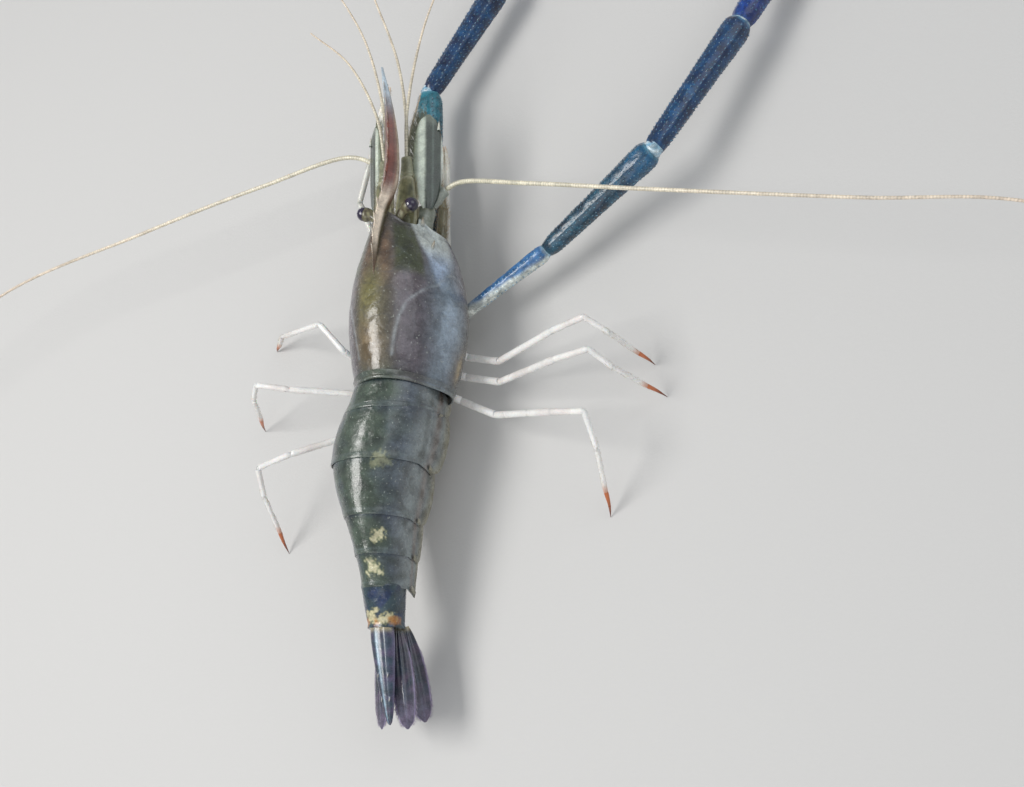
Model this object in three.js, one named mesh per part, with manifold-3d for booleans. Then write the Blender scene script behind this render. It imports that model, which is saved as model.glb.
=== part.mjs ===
// A giant river prawn, life size, standing on its walking legs with both long claw arms reaching forward.
// Millimetres. +Y is forward, +X is the animal's right, +Z is up and the floor is at Z 0.
// While it is built, Y 0 is the hind edge of the head shield, in the body's middle plane.
import * as THREE from "three";
import { LoftGeometry } from "three/addons/geometries/LoftGeometry.js";
import { mergeVertices } from "three/addons/utils/BufferGeometryUtils.js";
import Module from "manifold-3d";

const wasm = await Module();
wasm.setup();

// Driving sizes
const GAP = 0.3;
const SHIELD_LENGTH = 64;
const ROSTRUM_START = 36;
const ROSTRUM_TIP = 120;
const TAIL_EDGES = [0, -9, -27, -46, -59, -70, -84];
const TAIL_END = -117;
const BELLY = 24;
const EYE_RADIUS = 2.7;
const EYE_AT = { x: 10.2, y: 66.6, z: 46.3 };
const LEG_RADIUS = 1.6;

// The half of the body each paired piece stands on
const SIDES = [["right", 1], ["left", -1]];

const vec = (x, y, z) => new THREE.Vector3(x, y, z);
const lerp = THREE.MathUtils.lerp;
const UP = vec(0, 0, 1);
const FORWARD = vec(0, 1, 0);

// Colours and finishes
const finish = (color, roughness) => new THREE.MeshStandardMaterial({ color, roughness, metalness: 0 });
const PAINT = {
  shell: finish(0x6f6c5e, 0.3),
  belly: finish(0x9a9482, 0.45),
  rostrum: finish(0x7a4a3c, 0.35),
  eye: finish(0x15101a, 0.08),
  stalk: finish(0x7d7a62, 0.4),
  feeler: finish(0xb9ac93, 0.45),
  scale: finish(0x97a393, 0.35),
  arm: finish(0x14486e, 0.35),
  claw: finish(0x4a3a2c, 0.85),
  leg: finish(0xd9d6c8, 0.35),
  swimmeret: finish(0xa08468, 0.5),
  fan: finish(0x2f3a4c, 0.3),
};

// Solids and the model they go into

function toSolid(geometry) {
  const plain = new THREE.BufferGeometry().copy(geometry);
  for (const name of ["normal", "uv"]) plain.deleteAttribute(name);
  const merged = mergeVertices(plain, 1e-4);
  const vertProperties = merged.attributes.position.array;
  const triVerts = new Uint32Array(merged.index.array);
  return new wasm.Manifold(new wasm.Mesh({ numProp: 3, vertProperties, triVerts }));
}

function toGeometry(solid) {
  const { vertProperties, triVerts } = solid.getMesh();
  const geometry = new THREE.BufferGeometry();
  geometry.setAttribute("position", new THREE.BufferAttribute(vertProperties, 3));
  geometry.setIndex(new THREE.BufferAttribute(triVerts, 1));
  geometry.computeVertexNormals();
  return geometry;
}

const loft = (sections) => toSolid(new LoftGeometry(sections, { capStart: true, capEnd: true }));
const fuse = (solids) => solids.reduce((whole, one) => whole.add(one));
const cut = (solid, ...cutters) => cutters.reduce((left, cutter) => left.subtract(cutter), solid);
const largest = (solid) => solid.decompose().reduce((best, one) => (one.volume() > best.volume() ? one : best));

const prawn = new THREE.Group();

function add(name, solid, paint) {
  const mesh = new THREE.Mesh(toGeometry(largest(solid)), paint);
  mesh.name = name;
  prawn.add(mesh);
}

// Curves and rings

// A smooth curve through values given at rising stations
function smooth(stations, values) {
  const last = stations.length - 1;
  const slope = (i) => {
    const before = Math.max(i - 1, 0);
    const after = Math.min(i + 1, last);
    return (values[after] - values[before]) / (stations[after] - stations[before]);
  };
  return (at) => {
    let i = 0;
    while (i < last - 1 && at > stations[i + 1]) i += 1;
    const span = stations[i + 1] - stations[i];
    const t = THREE.MathUtils.clamp((at - stations[i]) / span, 0, 1);
    const rise = t * t * (3 - 2 * t);
    const lead = t * (1 - t) * (1 - t) * slope(i) * span;
    const trail = t * t * (1 - t) * slope(i + 1) * span;
    return lerp(values[i], values[i + 1], rise) + lead - trail;
  };
}

// Points round a closed section, turning right-handed about the way the loft runs
const around = (count, point) => Array.from({ length: count }, (_, i) => point((2 * Math.PI * i) / count));
const steps = (count) => Array.from({ length: count + 1 }, (_, i) => i / count);

// The frame of a tube at each of its points, carried along without twisting
function frames(points) {
  const last = points.length - 1;
  const ways = points.map((point, i) => {
    const way = vec(0, 0, 0);
    if (i > 0) way.add(point.clone().sub(points[i - 1]).normalize());
    if (i < last) way.add(points[i + 1].clone().sub(point).normalize());
    return way.normalize();
  });
  let side = ways[0].clone().cross(UP).normalize();
  return ways.map((way) => {
    side = side.clone().addScaledVector(way, -side.dot(way)).normalize();
    return { side, other: way.clone().cross(side) };
  });
}

// A tube through points, with a radius at each
function tube(points, radii, count) {
  return loft(frames(points).map(({ side, other }, i) =>
    around(count, (angle) =>
      points[i].clone()
        .addScaledVector(side, radii[i] * Math.cos(angle))
        .addScaledVector(other, radii[i] * Math.sin(angle)))));
}

// A tube along a smooth curve, tapering from one radius to another
function feeler(route, from, to, count, sides) {
  const curve = new THREE.CatmullRomCurve3(route, false, "centripetal");
  const points = steps(count).map((t) => curve.getPointAt(t));
  return tube(points, steps(count).map((t) => lerp(from, to, t)), sides);
}

// A jointed leg: each length starts and ends narrow and swells a little before its far joint
const KNUCKLES = [[0, 0.8], [0.09, 1], [0.86, 1.06]];

function leg(joints, radii, sides) {
  const points = [];
  const widths = [];
  for (let i = 0; i < joints.length - 1; i += 1) {
    for (const [t, swell] of KNUCKLES) {
      points.push(joints[i].clone().lerp(joints[i + 1], t));
      widths.push(lerp(radii[i], radii[i + 1], t) * swell);
    }
  }
  points.push(joints.at(-1));
  widths.push(radii.at(-1));
  return tube(points, widths, sides);
}

// A flat leaf from root to tip, its face turned to the given normal
const LEAF = [[0, 0.3], [0.1, 0.55], [0.3, 0.88], [0.55, 1], [0.8, 0.88], [0.93, 0.6], [1, 0.22]];

function leaf(root, tip, normal, halfWidth, halfThick, outline = LEAF) {
  const way = tip.clone().sub(root).normalize();
  const side = way.clone().cross(normal).normalize();
  const other = way.clone().cross(side);
  return loft(outline.map(([t, width]) =>
    around(8, (angle) =>
      root.clone().lerp(tip, t)
        .addScaledVector(side, halfWidth * width * Math.cos(angle))
        .addScaledVector(other, halfThick * Math.sin(angle)))));
}

const ball = (at, radius) =>
  toSolid(new THREE.SphereGeometry(radius, 14, 9).translate(at.x, at.y, at.z));

// A four-sided spine standing on a surface, its root sunk a little so that it joins
function spine(at, way, length, radius) {
  const lean = new THREE.Quaternion().setFromUnitVectors(FORWARD, way.clone().normalize());
  const cone = new THREE.ConeGeometry(radius, length, 4).translate(0, 0.3 * length, 0);
  return toSolid(cone.applyQuaternion(lean).translate(at.x, at.y, at.z));
}

const floorBlock = toSolid(new THREE.BoxGeometry(900, 900, 40).translate(0, 0, -20));
const standing = (solid) => cut(solid, floorBlock);

// Head shield

const SHIELD_STATIONS = [0, 10, 25, 40, 52, 60, SHIELD_LENGTH];
const shieldHalf = smooth(SHIELD_STATIONS, [15.8, 18.4, 20, 18.2, 14, 10.4, 8.6]);
const shieldTop = smooth(SHIELD_STATIONS, [49.6, 52, 54, 53.5, 52, 50.5, 49.8]);
const shieldLow = smooth(SHIELD_STATIONS, [18, 14.5, 13, 16, 22, 28, 30]);
const SHIELD_WIDEST = 0.38;
const SHIELD_SIDES = 30;
const SHIELD_RINGS = 12;
const HIND_LOBE = 4;

function shieldRing(y, grow) {
  const half = shieldHalf(y) + grow;
  const top = shieldTop(y) + grow;
  const low = shieldLow(y) - grow;
  const widest = lerp(low, top, SHIELD_WIDEST);
  const lobe = HIND_LOBE * Math.max(0, 1 - y / 10);
  return around(SHIELD_SIDES, (angle) => {
    const across = Math.sin(angle);
    const rise = Math.cos(angle);
    const back = lobe * (0.5 - 0.5 * rise) ** 0.8;
    if (rise >= 0) return vec(half * across, y - back, widest + (top - widest) * rise);
    const reach = half * Math.sign(across) * Math.abs(across) ** 0.6;
    return vec(reach, y - back, widest - (widest - low) * Math.abs(rise) ** 0.7);
  });
}

function shieldBody(grow) {
  return loft(steps(SHIELD_RINGS).map((t) => {
    const y = lerp(-grow, SHIELD_LENGTH + grow, t);
    return shieldRing(y, grow);
  }));
}

// The underside of the chest and mouth, which the limbs grow from

const CHEST_STATIONS = [3, 25, 44, 52, 58];
const chestHalf = smooth(CHEST_STATIONS, [8.5, 10.5, 7.5, 6, 4.5]);
const chestTop = smooth(CHEST_STATIONS, [21, 21, 21.5, 25, 30]);
const chestLow = smooth(CHEST_STATIONS, [14.5, 13.6, 13.8, 17, 22]);
const CHEST_RINGS = 7;

function chestBody(grow, drop = 0) {
  return loft(steps(CHEST_RINGS).map((t) => {
    const y = lerp(CHEST_STATIONS[0] - grow, CHEST_STATIONS.at(-1) + grow, t);
    const middle = 0.5 * (chestTop(y) + chestLow(y));
    const height = 0.5 * (chestTop(y) - chestLow(y)) + grow;
    return around(14, (angle) => {
      const across = Math.sin(angle);
      const rise = Math.cos(angle);
      const width = (chestHalf(y) + grow) * Math.sign(across);
      const level = middle + height * Math.sign(rise) * Math.abs(rise) ** 0.6;
      if (drop > 0 && rise < -0.1) return vec(Math.abs(across) < 0.1 ? 0 : width, y, level - drop);
      return vec(width * Math.abs(across) ** 0.6, y, level);
    });
  }));
}

const chestGrown = chestBody(GAP);
const shieldGrown = shieldBody(GAP);
const eyeSpot = (sign) => vec(sign * EYE_AT.x, EYE_AT.y, EYE_AT.z);
const sockets = SIDES.map(([, sign]) => ball(eyeSpot(sign), EYE_RADIUS + 2 * GAP));
const offBody = (solid) => cut(solid, chestGrown, shieldGrown);

// Two spines on each cheek, behind the second feeler
const cheekSpines = SIDES.flatMap(([, sign]) => [
  spine(vec(sign * 9.3, 61.5, 38.5), FORWARD, 4, 0.9),
  spine(vec(sign * 12.6, 52.5, 37), vec(sign * 0.4, 1, 0), 3.4, 0.9),
]);

add("carapace", cut(fuse([shieldBody(0), ...cheekSpines]), chestBody(1.6 * GAP, 30), ...sockets), PAINT.shell);
add("thorax_underside", chestBody(0), PAINT.belly);

// Rostrum: an upturned blade with a ridge along each side, rising from a crest on the head shield

const BLADE_STATIONS = [ROSTRUM_START, 50, 62, 75, 90, 105, ROSTRUM_TIP];
const bladeTop = smooth(BLADE_STATIONS, [54.2, 56, 55.8, 54, 52.6, 53.8, 57.4]);
const bladeLow = smooth(BLADE_STATIONS, [51, 50, 48.6, 47, 47.4, 50.6, 56.6]);
const bladeHalf = smooth(BLADE_STATIONS, [1, 1.7, 2, 1.9, 1.6, 1.2, 0.4]);
const EDGE_HALF = 0.35;
const BLADE_RINGS = 11;

function rostrumBlade() {
  return loft(steps(BLADE_RINGS).map((t) => {
    const y = lerp(ROSTRUM_START, ROSTRUM_TIP, t);
    const ridge = lerp(bladeLow(y), bladeTop(y), 0.5);
    const right = [
      [EDGE_HALF, bladeTop(y)],
      [EDGE_HALF + 0.45 * (bladeHalf(y) - EDGE_HALF), lerp(ridge, bladeTop(y), 0.3)],
      [bladeHalf(y), ridge],
      [EDGE_HALF + 0.45 * (bladeHalf(y) - EDGE_HALF), lerp(ridge, bladeLow(y), 0.3)],
      [EDGE_HALF, bladeLow(y)],
    ];
    const left = right.map(([x, z]) => [-x, z]).reverse();
    return [...right, ...left].map(([x, z]) => vec(x, y, z));
  }));
}

// Teeth along both edges of the blade: where the row starts and ends, and how far the teeth rise
const TEETH = {
  upper: { count: 12, from: 42, to: 112, edge: bladeTop, rise: 1, length: 3 },
  lower: { count: 9, from: 72, to: 113, edge: bladeLow, rise: -1, length: 2.6 },
};

function bladeTeeth({ count, from, to, edge, rise, length }) {
  return steps(count - 1).map((t) => {
    const y = lerp(from, to, t);
    return spine(vec(0, y, edge(y) - 0.2 * rise), vec(0, 1, 0.55 * rise), length, 0.75);
  });
}

const teeth = Object.values(TEETH).flatMap(bladeTeeth);
add("rostrum", offBody(fuse([rostrumBlade(), ...teeth])), PAINT.rostrum);

// Eyes on their stalks

for (const [side, sign] of SIDES) {
  const eye = ball(eyeSpot(sign), EYE_RADIUS);
  const stalk = tube([vec(sign * 3.4, 62, 45), vec(sign * 6.4, 65, 45.6), eyeSpot(sign)], [1.6, 1.9, 2.4], 10);
  add(`eye_${side}`, eye, PAINT.eye);
  add(`eyestalk_${side}`, offBody(cut(stalk, ball(eyeSpot(sign), EYE_RADIUS + GAP))), PAINT.stalk);
}

// First feelers: a stout stem of three lengths that carries three whips

const STEM_ROOT = vec(3.3, SHIELD_LENGTH + 1.6 * GAP, 40);
const STEM_END = vec(4.2, 88, 42);
const STEM_RADIUS = 2.5;
const WHIPS = {
  right: [
    [vec(4.6, 104, 43), vec(2, 128, 47), vec(-7, 156, 52), vec(-14, 178, 58)],
    [vec(6.6, 106, 46), vec(15, 135, 51), vec(28, 160, 55)],
    [vec(5, 101, 40), vec(8, 117, 39)],
  ],
  left: [
    [vec(-5, 106, 43), vec(-11, 138, 50), vec(-26, 168, 58)],
    [vec(-6.6, 106, 46), vec(-18, 130, 50), vec(-36, 148, 52)],
    [vec(-5, 101, 40), vec(-8, 116, 38.6)],
  ],
};

for (const [side, sign] of SIDES) {
  const mirrored = (at) => vec(sign * at.x, at.y, at.z);
  const stem = leg(
    [STEM_ROOT, vec(3.6, 76, 40.6), vec(3.9, 82, 41.3), STEM_END].map(mirrored),
    [STEM_RADIUS, 2.3, 2.1, 1.9],
    8,
  );
  const inside = mirrored(STEM_END.clone().lerp(STEM_ROOT, 0.06));
  const whips = WHIPS[side].map((route, i) => feeler([inside, ...route], 0.75, 0.3, [14, 12, 6][i], 5));
  add(`antennule_${side}`, fuse([stem, ...whips]), PAINT.feeler);
}

// Second feelers: a stout base, a flat scale above it, and a whip longer than the body

const BASE = {
  right: [vec(8, 61, 34), vec(9.4, 71, 33.6), vec(10, 72.6, 31.6), vec(15.4, 78.4, 30.5)],
  left: [vec(-8, 61, 34), vec(-9.4, 71, 33.6), vec(-9.4, 73, 31.4), vec(-11, 84, 30.6)],
};
const BASE_RADII = [3.8, 3.7, 2.5, 2];
const WHIP_ROUTES = {
  right: [vec(16, 79, 30.4), vec(22, 80, 31.2), vec(52, 71.6, 35), vec(96, 59, 38), vec(169, 40, 40),
    vec(215, 29.5, 40), vec(266, 2, 38), vec(288, -40, 34)],
  left: [vec(-11.1, 84.9, 30.5), vec(-14, 93, 30.8), vec(-26, 100, 33), vec(-66, 94.6, 36), vec(-127, 84, 38),
    vec(-208, 68, 38), vec(-264, 36, 36), vec(-286, -10, 32)],
};
const WHIP_SPLIT = 0.42;
const WHIP_STEPS = 26;
const SCALE_ROOT = vec(11.4, 69, 36.3);
const SCALE_TIP = vec(12, 107, 39);
const SCALE_OUTLINE = [[0, 0.35], [0.12, 0.7], [0.35, 0.98], [0.6, 1], [0.8, 0.86], [0.93, 0.58], [1, 0.25]];
const SCALE_SLOPE = 0.75;

for (const [side, sign] of SIDES) {
  const base = fuse([
    tube(BASE[side].slice(0, 2), BASE_RADII.slice(0, 2), 12),
    tube(BASE[side].slice(1), BASE_RADII.slice(1), 10),
  ]);
  const baseGrown = fuse([
    tube(BASE[side].slice(0, 2), BASE_RADII.slice(0, 2).map((r) => r + 1.5 * GAP), 12),
    tube(BASE[side].slice(1), BASE_RADII.slice(1).map((r) => r + 1.5 * GAP), 10),
    ball(BASE[side][1], BASE_RADII[1] + 1.5 * GAP),
  ]);
  const normal = vec(sign * SCALE_SLOPE, 0, 1).normalize();
  const scale = leaf(
    vec(sign * SCALE_ROOT.x, SCALE_ROOT.y, SCALE_ROOT.z),
    vec(sign * SCALE_TIP.x, SCALE_TIP.y, SCALE_TIP.z),
    normal,
    5.6,
    0.55,
    SCALE_OUTLINE,
  );
  const outer = vec(sign, 0, -SCALE_SLOPE).normalize();
  const spineRoot = vec(sign * SCALE_TIP.x, 0.95 * SCALE_TIP.y, SCALE_TIP.z).addScaledVector(outer, 4);
  const armed = scale.add(spine(spineRoot, FORWARD, 4, 0.7));
  add(`antenna_base_${side}`, offBody(base), PAINT.stalk);
  add(`antenna_scale_${side}`, offBody(cut(armed, baseGrown)), PAINT.scale);

  const curve = new THREE.CatmullRomCurve3(WHIP_ROUTES[side], false, "centripetal");
  const length = curve.getLength();
  const stretch = (from, to) => {
    const at = (t) => curve.getPointAt(lerp(from, to, t));
    const radius = (t) => lerp(0.95, 0.3, lerp(from, to, t));
    return tube(steps(WHIP_STEPS).map(at), steps(WHIP_STEPS).map(radius), 6);
  };
  add(`antenna_near_${side}`, stretch(0, WHIP_SPLIT), PAINT.feeler);
  add(`antenna_far_${side}`, stretch(WHIP_SPLIT + GAP / length, 1), PAINT.feeler);
}

// Third jaw feet, folded forward under the mouth

for (const [side, sign] of SIDES) {
  const joints = [vec(4.4, 50, 18.5), vec(6.6, 66, 17.2), vec(7, 78, 17), vec(5.6, 93, 20.5)];
  const placed = joints.map((at) => vec(sign * at.x, at.y, at.z));
  add(`maxilliped_${side}`, offBody(leg(placed, [2, 2.1, 1.8, 0.9], 8)), PAINT.leg);
}

// First legs: thin, each with a small pincer

const LEG_ONE = {
  right: [vec(5, 41, 18), vec(9.5, 48, 14), vec(8.6, 64, 12.6), vec(8.6, 80, 13), vec(8.4, 90, 13.6)],
  left: [vec(-5, 41, 18), vec(-12, 46, 15.6), vec(-21, 60, 13), vec(-30, 87, 20), vec(-18, 114, 27)],
};
const PINCER_LENGTH = 17;

function pincer(joints) {
  const end = joints.at(-1);
  const way = end.clone().sub(joints.at(-2)).normalize();
  const side = way.clone().cross(UP).normalize();
  const finger = (lean) => {
    const from = end.clone().addScaledVector(way, -2).addScaledVector(side, 0.2 * lean);
    const middle = end.clone().addScaledVector(way, 0.5 * PINCER_LENGTH).addScaledVector(side, 0.9 * lean);
    const to = end.clone().addScaledVector(way, PINCER_LENGTH).addScaledVector(side, 0.4 * lean);
    return tube([from, middle, to], [1.5, 1, 0.35], 6);
  };
  return [finger(1), finger(-1)];
}

for (const [side] of SIDES) {
  const joints = LEG_ONE[side];
  const whole = fuse([leg(joints, [1.7, 1.7, 1.5, 1.4, 1.7], 8), ...pincer(joints)]);
  add(`leg1_${side}`, offBody(whole), PAINT.leg);
}

// The big claw arms: five pieces each, meeting face to face on the bisecting plane of each bend

const ARM_JOINTS = {
  right: [vec(8, 29.5, 13.4), vec(51, 53, 16), vec(96, 80, 25), vec(128, 128, 17), vec(158, 180, 6.4)],
  left: [vec(-7, 31, 12.4), vec(-1, 67, 8.4), vec(-1, 131, 17), vec(28, 174, 14), vec(50, 230, 6.4)],
};
const ARM_PIECES = ["ischium", "merus", "carpus", "palm"];
const ARM_RADII = [[2.3, 3], [3, 3.9], [3.5, 4.8], [4.8, 5.2]];
const ARM_SWELL = [[0, 0.74], [0.05, 0.92], [0.2, 0.98], [0.6, 1], [0.88, 1.05], [0.96, 1], [1, 0.78]];
const ARM_SIDES = 12;
const ARM_SPINES = { rows: 4, along: 4, length: 1.7, radius: 0.65 };
const FINGER_LENGTH = 42;

function onPlane(point, way, at, normal) {
  const along = at.clone().sub(point).dot(normal) / way.dot(normal);
  return point.clone().addScaledVector(way, along);
}

function armPiece(joints, index) {
  const from = joints[index];
  const to = joints[index + 1];
  const way = to.clone().sub(from).normalize();
  const bend = (other) => (other ? way.clone().add(other).normalize() : way.clone());
  const before = index > 0 ? from.clone().sub(joints[index - 1]).normalize() : null;
  const after = index + 2 < joints.length ? joints[index + 2].clone().sub(to).normalize() : null;
  const side = way.clone().cross(UP).normalize();
  const other = way.clone().cross(side);
  const startFace = bend(before);
  const endFace = bend(after);
  const outward = (angle) =>
    side.clone().multiplyScalar(Math.cos(angle)).addScaledVector(other, Math.sin(angle));
  const spines = steps(ARM_SPINES.rows * ARM_SPINES.along - 1).map((_, i) => {
    const row = i % ARM_SPINES.rows;
    const place = Math.floor(i / ARM_SPINES.rows);
    const t = 0.2 + 0.66 * ((place + 0.5 * (row % 2)) / (ARM_SPINES.along - 0.5));
    const out = outward((Math.PI * (2 * row + 1)) / ARM_SPINES.rows);
    const at = from.clone().lerp(to, t).addScaledVector(out, lerp(...ARM_RADII[index], t) * 0.94);
    return spine(at, out.addScaledVector(way, 0.9), ARM_SPINES.length, ARM_SPINES.radius);
  });
  const tubeOfArm = loft(ARM_SWELL.map(([t, swell]) => {
    const centre = from.clone().lerp(to, t);
    const radius = lerp(...ARM_RADII[index], t) * swell;
    return around(ARM_SIDES, (angle) => {
      const point = centre.clone()
        .addScaledVector(side, radius * Math.cos(angle))
        .addScaledVector(other, radius * Math.sin(angle));
      if (t === 0) return onPlane(point, way, from.clone().addScaledVector(startFace, GAP / 2), startFace);
      if (t === 1) return onPlane(point, way, to.clone().addScaledVector(endFace, -GAP / 2), endFace);
      return point;
    });
  }));
  return index === 0 ? tubeOfArm : fuse([tubeOfArm, ...spines]);
}

// One finger, bowed outward and hooked in at its tip
const FINGER = [[-0.16, 0.5, 2.9], [0, 0.62, 3], [0.3, 0.66, 2.6], [0.65, 0.62, 2], [0.88, 0.42, 1.4], [1, 0.16, 0.6]];
const FINGER_SPREAD = 4;

function finger(joints, lean, grow = 0) {
  const end = joints.at(-1);
  const way = end.clone().sub(joints.at(-2)).setZ(0).normalize();
  const side = way.clone().cross(UP).normalize();
  const drop = (end.z - 1.2) / 0.88;
  const points = FINGER.map(([t, bow], i) =>
    end.clone()
      .addScaledVector(way, t * FINGER_LENGTH - (i === 0 ? 2 * grow : 0))
      .addScaledVector(side, lean * bow * FINGER_SPREAD)
      .addScaledVector(UP, -drop * Math.max(t, 0)));
  return tube(points, FINGER.map(([, , radius]) => radius + grow), 8);
}

for (const [side, sign] of SIDES) {
  const joints = ARM_JOINTS[side];
  ARM_PIECES.forEach((piece, index) => {
    let solid = armPiece(joints, index);
    if (piece === "ischium") solid = offBody(solid);
    if (piece === "palm") solid = cut(fuse([solid, finger(joints, sign)]), finger(joints, -sign, 1.3 * GAP));
    add(`arm_${piece}_${side}`, standing(solid), PAINT.arm);
  });
  add(`arm_finger_${side}`, standing(finger(joints, -sign)), PAINT.claw);
}

// Walking legs, from the root under the chest to a tip that stands on the floor

const LEG_JOINTS = {
  leg3_right: [vec(6, 20, 15), vec(16.5, 17.5, 10.6), vec(31, 13, 14), vec(59, 16, 29), vec(73, 17.3, 34),
    vec(79.3, 13.2, 26), vec(86.8, 8.4, 0)],
  leg4_right: [vec(6, 12.5, 15), vec(16, 9.7, 10.6), vec(31.4, 5, 14), vec(60, 5.3, 29), vec(74.6, 5.5, 34),
    vec(80.2, 0.7, 26), vec(91, -4.1, 0)],
  leg5_right: [vec(6, 5, 15), vec(14, 0.6, 10.6), vec(30, -7.5, 14), vec(59, -13.6, 29), vec(73, -16.3, 34),
    vec(73.6, -27, 24), vec(69, -45.7, 0)],
  leg3_left: [vec(-6, 21, 15), vec(-16, 19, 10.6), vec(-24, 17, 22), vec(-27, 20, 30), vec(-36, 31, 34),
    vec(-71.5, 38.7, 10), vec(-81, 36.6, 0)],
  leg4_left: [vec(-6, 13, 15), vec(-15, 11, 10.6), vec(-27, 7, 15), vec(-52, 8, 30), vec(-64, 10, 34),
    vec(-71, 7, 26), vec(-84, 2, 0)],
  leg5_left: [vec(-6, 5, 15), vec(-13, 0.6, 10.6), vec(-26, -7.5, 14), vec(-50, -18, 29), vec(-61, -23, 33),
    vec(-64, -32, 24), vec(-68, -50, 0)],
};
const LEG_TAPER = [1.15, 1.1, 1.05, 1, 0.85, 0.7, 0.34].map((share) => share * LEG_RADIUS);

for (const [name, joints] of Object.entries(LEG_JOINTS)) {
  const last = joints.at(-1);
  const reach = last.clone().sub(joints.at(-2)).normalize();
  const foot = last.clone().addScaledVector(reach, 1);
  add(name, standing(offBody(leg([...joints.slice(0, -1), foot], LEG_TAPER, 8))), PAINT.leg);
}

// Tail: five rings with side flaps, then a narrow sixth

const TAIL_STATIONS = [TAIL_EDGES[6], -78, -64, -50, -36, -20, 0];
const tailTop = smooth(TAIL_STATIONS, [33, 35, 40, 45, 48.6, 50, 49.2]);
const tailHalf = smooth(TAIL_STATIONS, [6.6, 7, 8.6, 10.8, 14.6, 16.8, 15.4]);
const swing = smooth([TAIL_END, TAIL_EDGES[6], -60, -34, -20, -6, 4], [-2.5, -4.8, -5.4, -7.4, -6, -2, 0]);
const RIM = 0.4;
const FLAP_THICK = 1.2;
const FLAPS = [
  { low: 17, front: 0, back: 0, proud: 0 },
  { low: 14.5, front: 3, back: 3, proud: 0.7 },
  { low: 16.5, front: 0, back: 2.5, proud: 0.2 },
  { low: 19, front: 0, back: 2.5, proud: 0.2 },
  { low: 20.5, front: 0, back: 2.5, proud: 0.2 },
];
const ALONG = [-1, -0.86, -0.5, 0, 0.5, 0.86, 1];
const DOME_STEPS = 7;

function tailRing(index, grow) {
  const { low, front, back, proud } = FLAPS[index];
  const foreEdge = TAIL_EDGES[index] - GAP / 2 + grow;
  const hindEdge = TAIL_EDGES[index + 1] + GAP / 2 - grow;
  return loft(ALONG.map((along) => {
    const y = lerp(hindEdge, foreEdge, 0.5 + 0.5 * along);
    const rim = RIM * Math.max(0, -along);
    const half = tailHalf(y) + proud + rim + grow;
    const top = tailTop(y) + rim + grow;
    const widest = 33 - (50 - tailTop(y)) * 0.5;
    const belly = BELLY - (50 - tailTop(y)) * 0.1;
    const deep = Math.sqrt(Math.max(0, 1 - along * along));
    const edge = Math.min(lerp(belly - 1.5, low, deep ** 0.8), belly - 1.5) - grow;
    const place = (x, z) => {
      const down = THREE.MathUtils.clamp((widest - z) / (widest - low), 0, 1);
      const spread = along > 0 ? front * along : back * along;
      return vec(x + swing(y), y + spread * down, z);
    };
    const right = steps(DOME_STEPS).map((t) => {
      const angle = (t * Math.PI) / 2;
      return [half * Math.sin(angle), widest + (top - widest) * Math.cos(angle)];
    });
    right.push([half * 0.985, lerp(widest, edge, 0.5)]);
    right.push([half * 0.93, edge]);
    right.push([half * 0.93 - FLAP_THICK - 2 * grow, edge]);
    right.push([half * 0.9 - FLAP_THICK - 2 * grow, belly - grow]);
    const left = right.slice(1).map(([x, z]) => [-x, z]).reverse();
    return [...right, ...left].map(([x, z]) => place(x, z));
  }));
}

function sixthRing() {
  const foreEdge = TAIL_EDGES[5] - GAP / 2;
  const hindEdge = TAIL_EDGES[6] + GAP / 2;
  return loft(steps(5).map((t) => {
    const y = lerp(hindEdge, foreEdge, t);
    const middle = 0.5 * (tailTop(y) + 21);
    const height = 0.5 * (tailTop(y) - 21);
    return around(20, (angle) => vec(swing(y) + tailHalf(y) * Math.sin(angle), y, middle + height * Math.cos(angle)));
  }));
}

const rings = FLAPS.map((_, index) => tailRing(index, 0));
const ringsGrown = FLAPS.map((_, index) => tailRing(index, GAP));
const tail = [
  cut(rings[0], ringsGrown[1], shieldGrown),
  rings[1],
  cut(rings[2], ringsGrown[1]),
  cut(rings[3], ringsGrown[2]),
  cut(rings[4], ringsGrown[3]),
  cut(sixthRing(), ringsGrown[4]),
];
tail.forEach((solid, index) => add(`abdomen_${index + 1}`, solid, PAINT.shell));

// Swimmerets: a pair of paddles under each of the first five rings

const PADDLE_LENGTH = [15, 17, 17, 15, 13];

for (const [side, sign] of SIDES) {
  PADDLE_LENGTH.forEach((length, index) => {
    const y = 0.5 * (TAIL_EDGES[index] + TAIL_EDGES[index + 1]) + 2;
    const belly = BELLY - (50 - tailTop(y)) * 0.1;
    const root = vec(swing(y) + sign * 0.36 * tailHalf(y), y, belly - GAP - 0.2);
    const tip = root.clone().add(vec(sign * 1.5, -5, -length));
    const paddle = cut(leaf(root, tip, FORWARD, 3.2, 0.6), shieldGrown, ...ringsGrown);
    add(`swimmeret_${index + 1}_${side}`, paddle, PAINT.swimmeret);
  });
}

// Tail fan

const fanAt = (x, y, z) => vec(x + swing(y), y, z);
const TELSON_RINGS = [[0, 4.6, 2.3], [0.15, 4.7, 2.1], [0.5, 3.6, 1.6], [0.85, 2, 0.9], [0.97, 1, 0.6], [1, 0.3, 0.4]];

const TELSON_SPINES = [[-100, 1.9, 29.6], [-108, 1.5, 28.2]];

function telson() {
  const spines = TELSON_SPINES.flatMap(([y, x, z]) =>
    SIDES.map(([, sign]) => spine(fanAt(sign * x, y, z), vec(0, -1, 0.3), 2, 0.4)));
  return fuse([telsonBody(), ...spines]);
}

function telsonBody() {
  return loft([...TELSON_RINGS].reverse().map(([t, half, thick]) => {
    const y = lerp(TAIL_EDGES[6] - GAP / 2, TAIL_END, t);
    const middle = lerp(30, 26, t);
    return around(10, (angle) => fanAt(half * Math.sin(angle), y, middle + thick * Math.cos(angle)));
  }));
}

add("telson", telson(), PAINT.fan);

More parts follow.
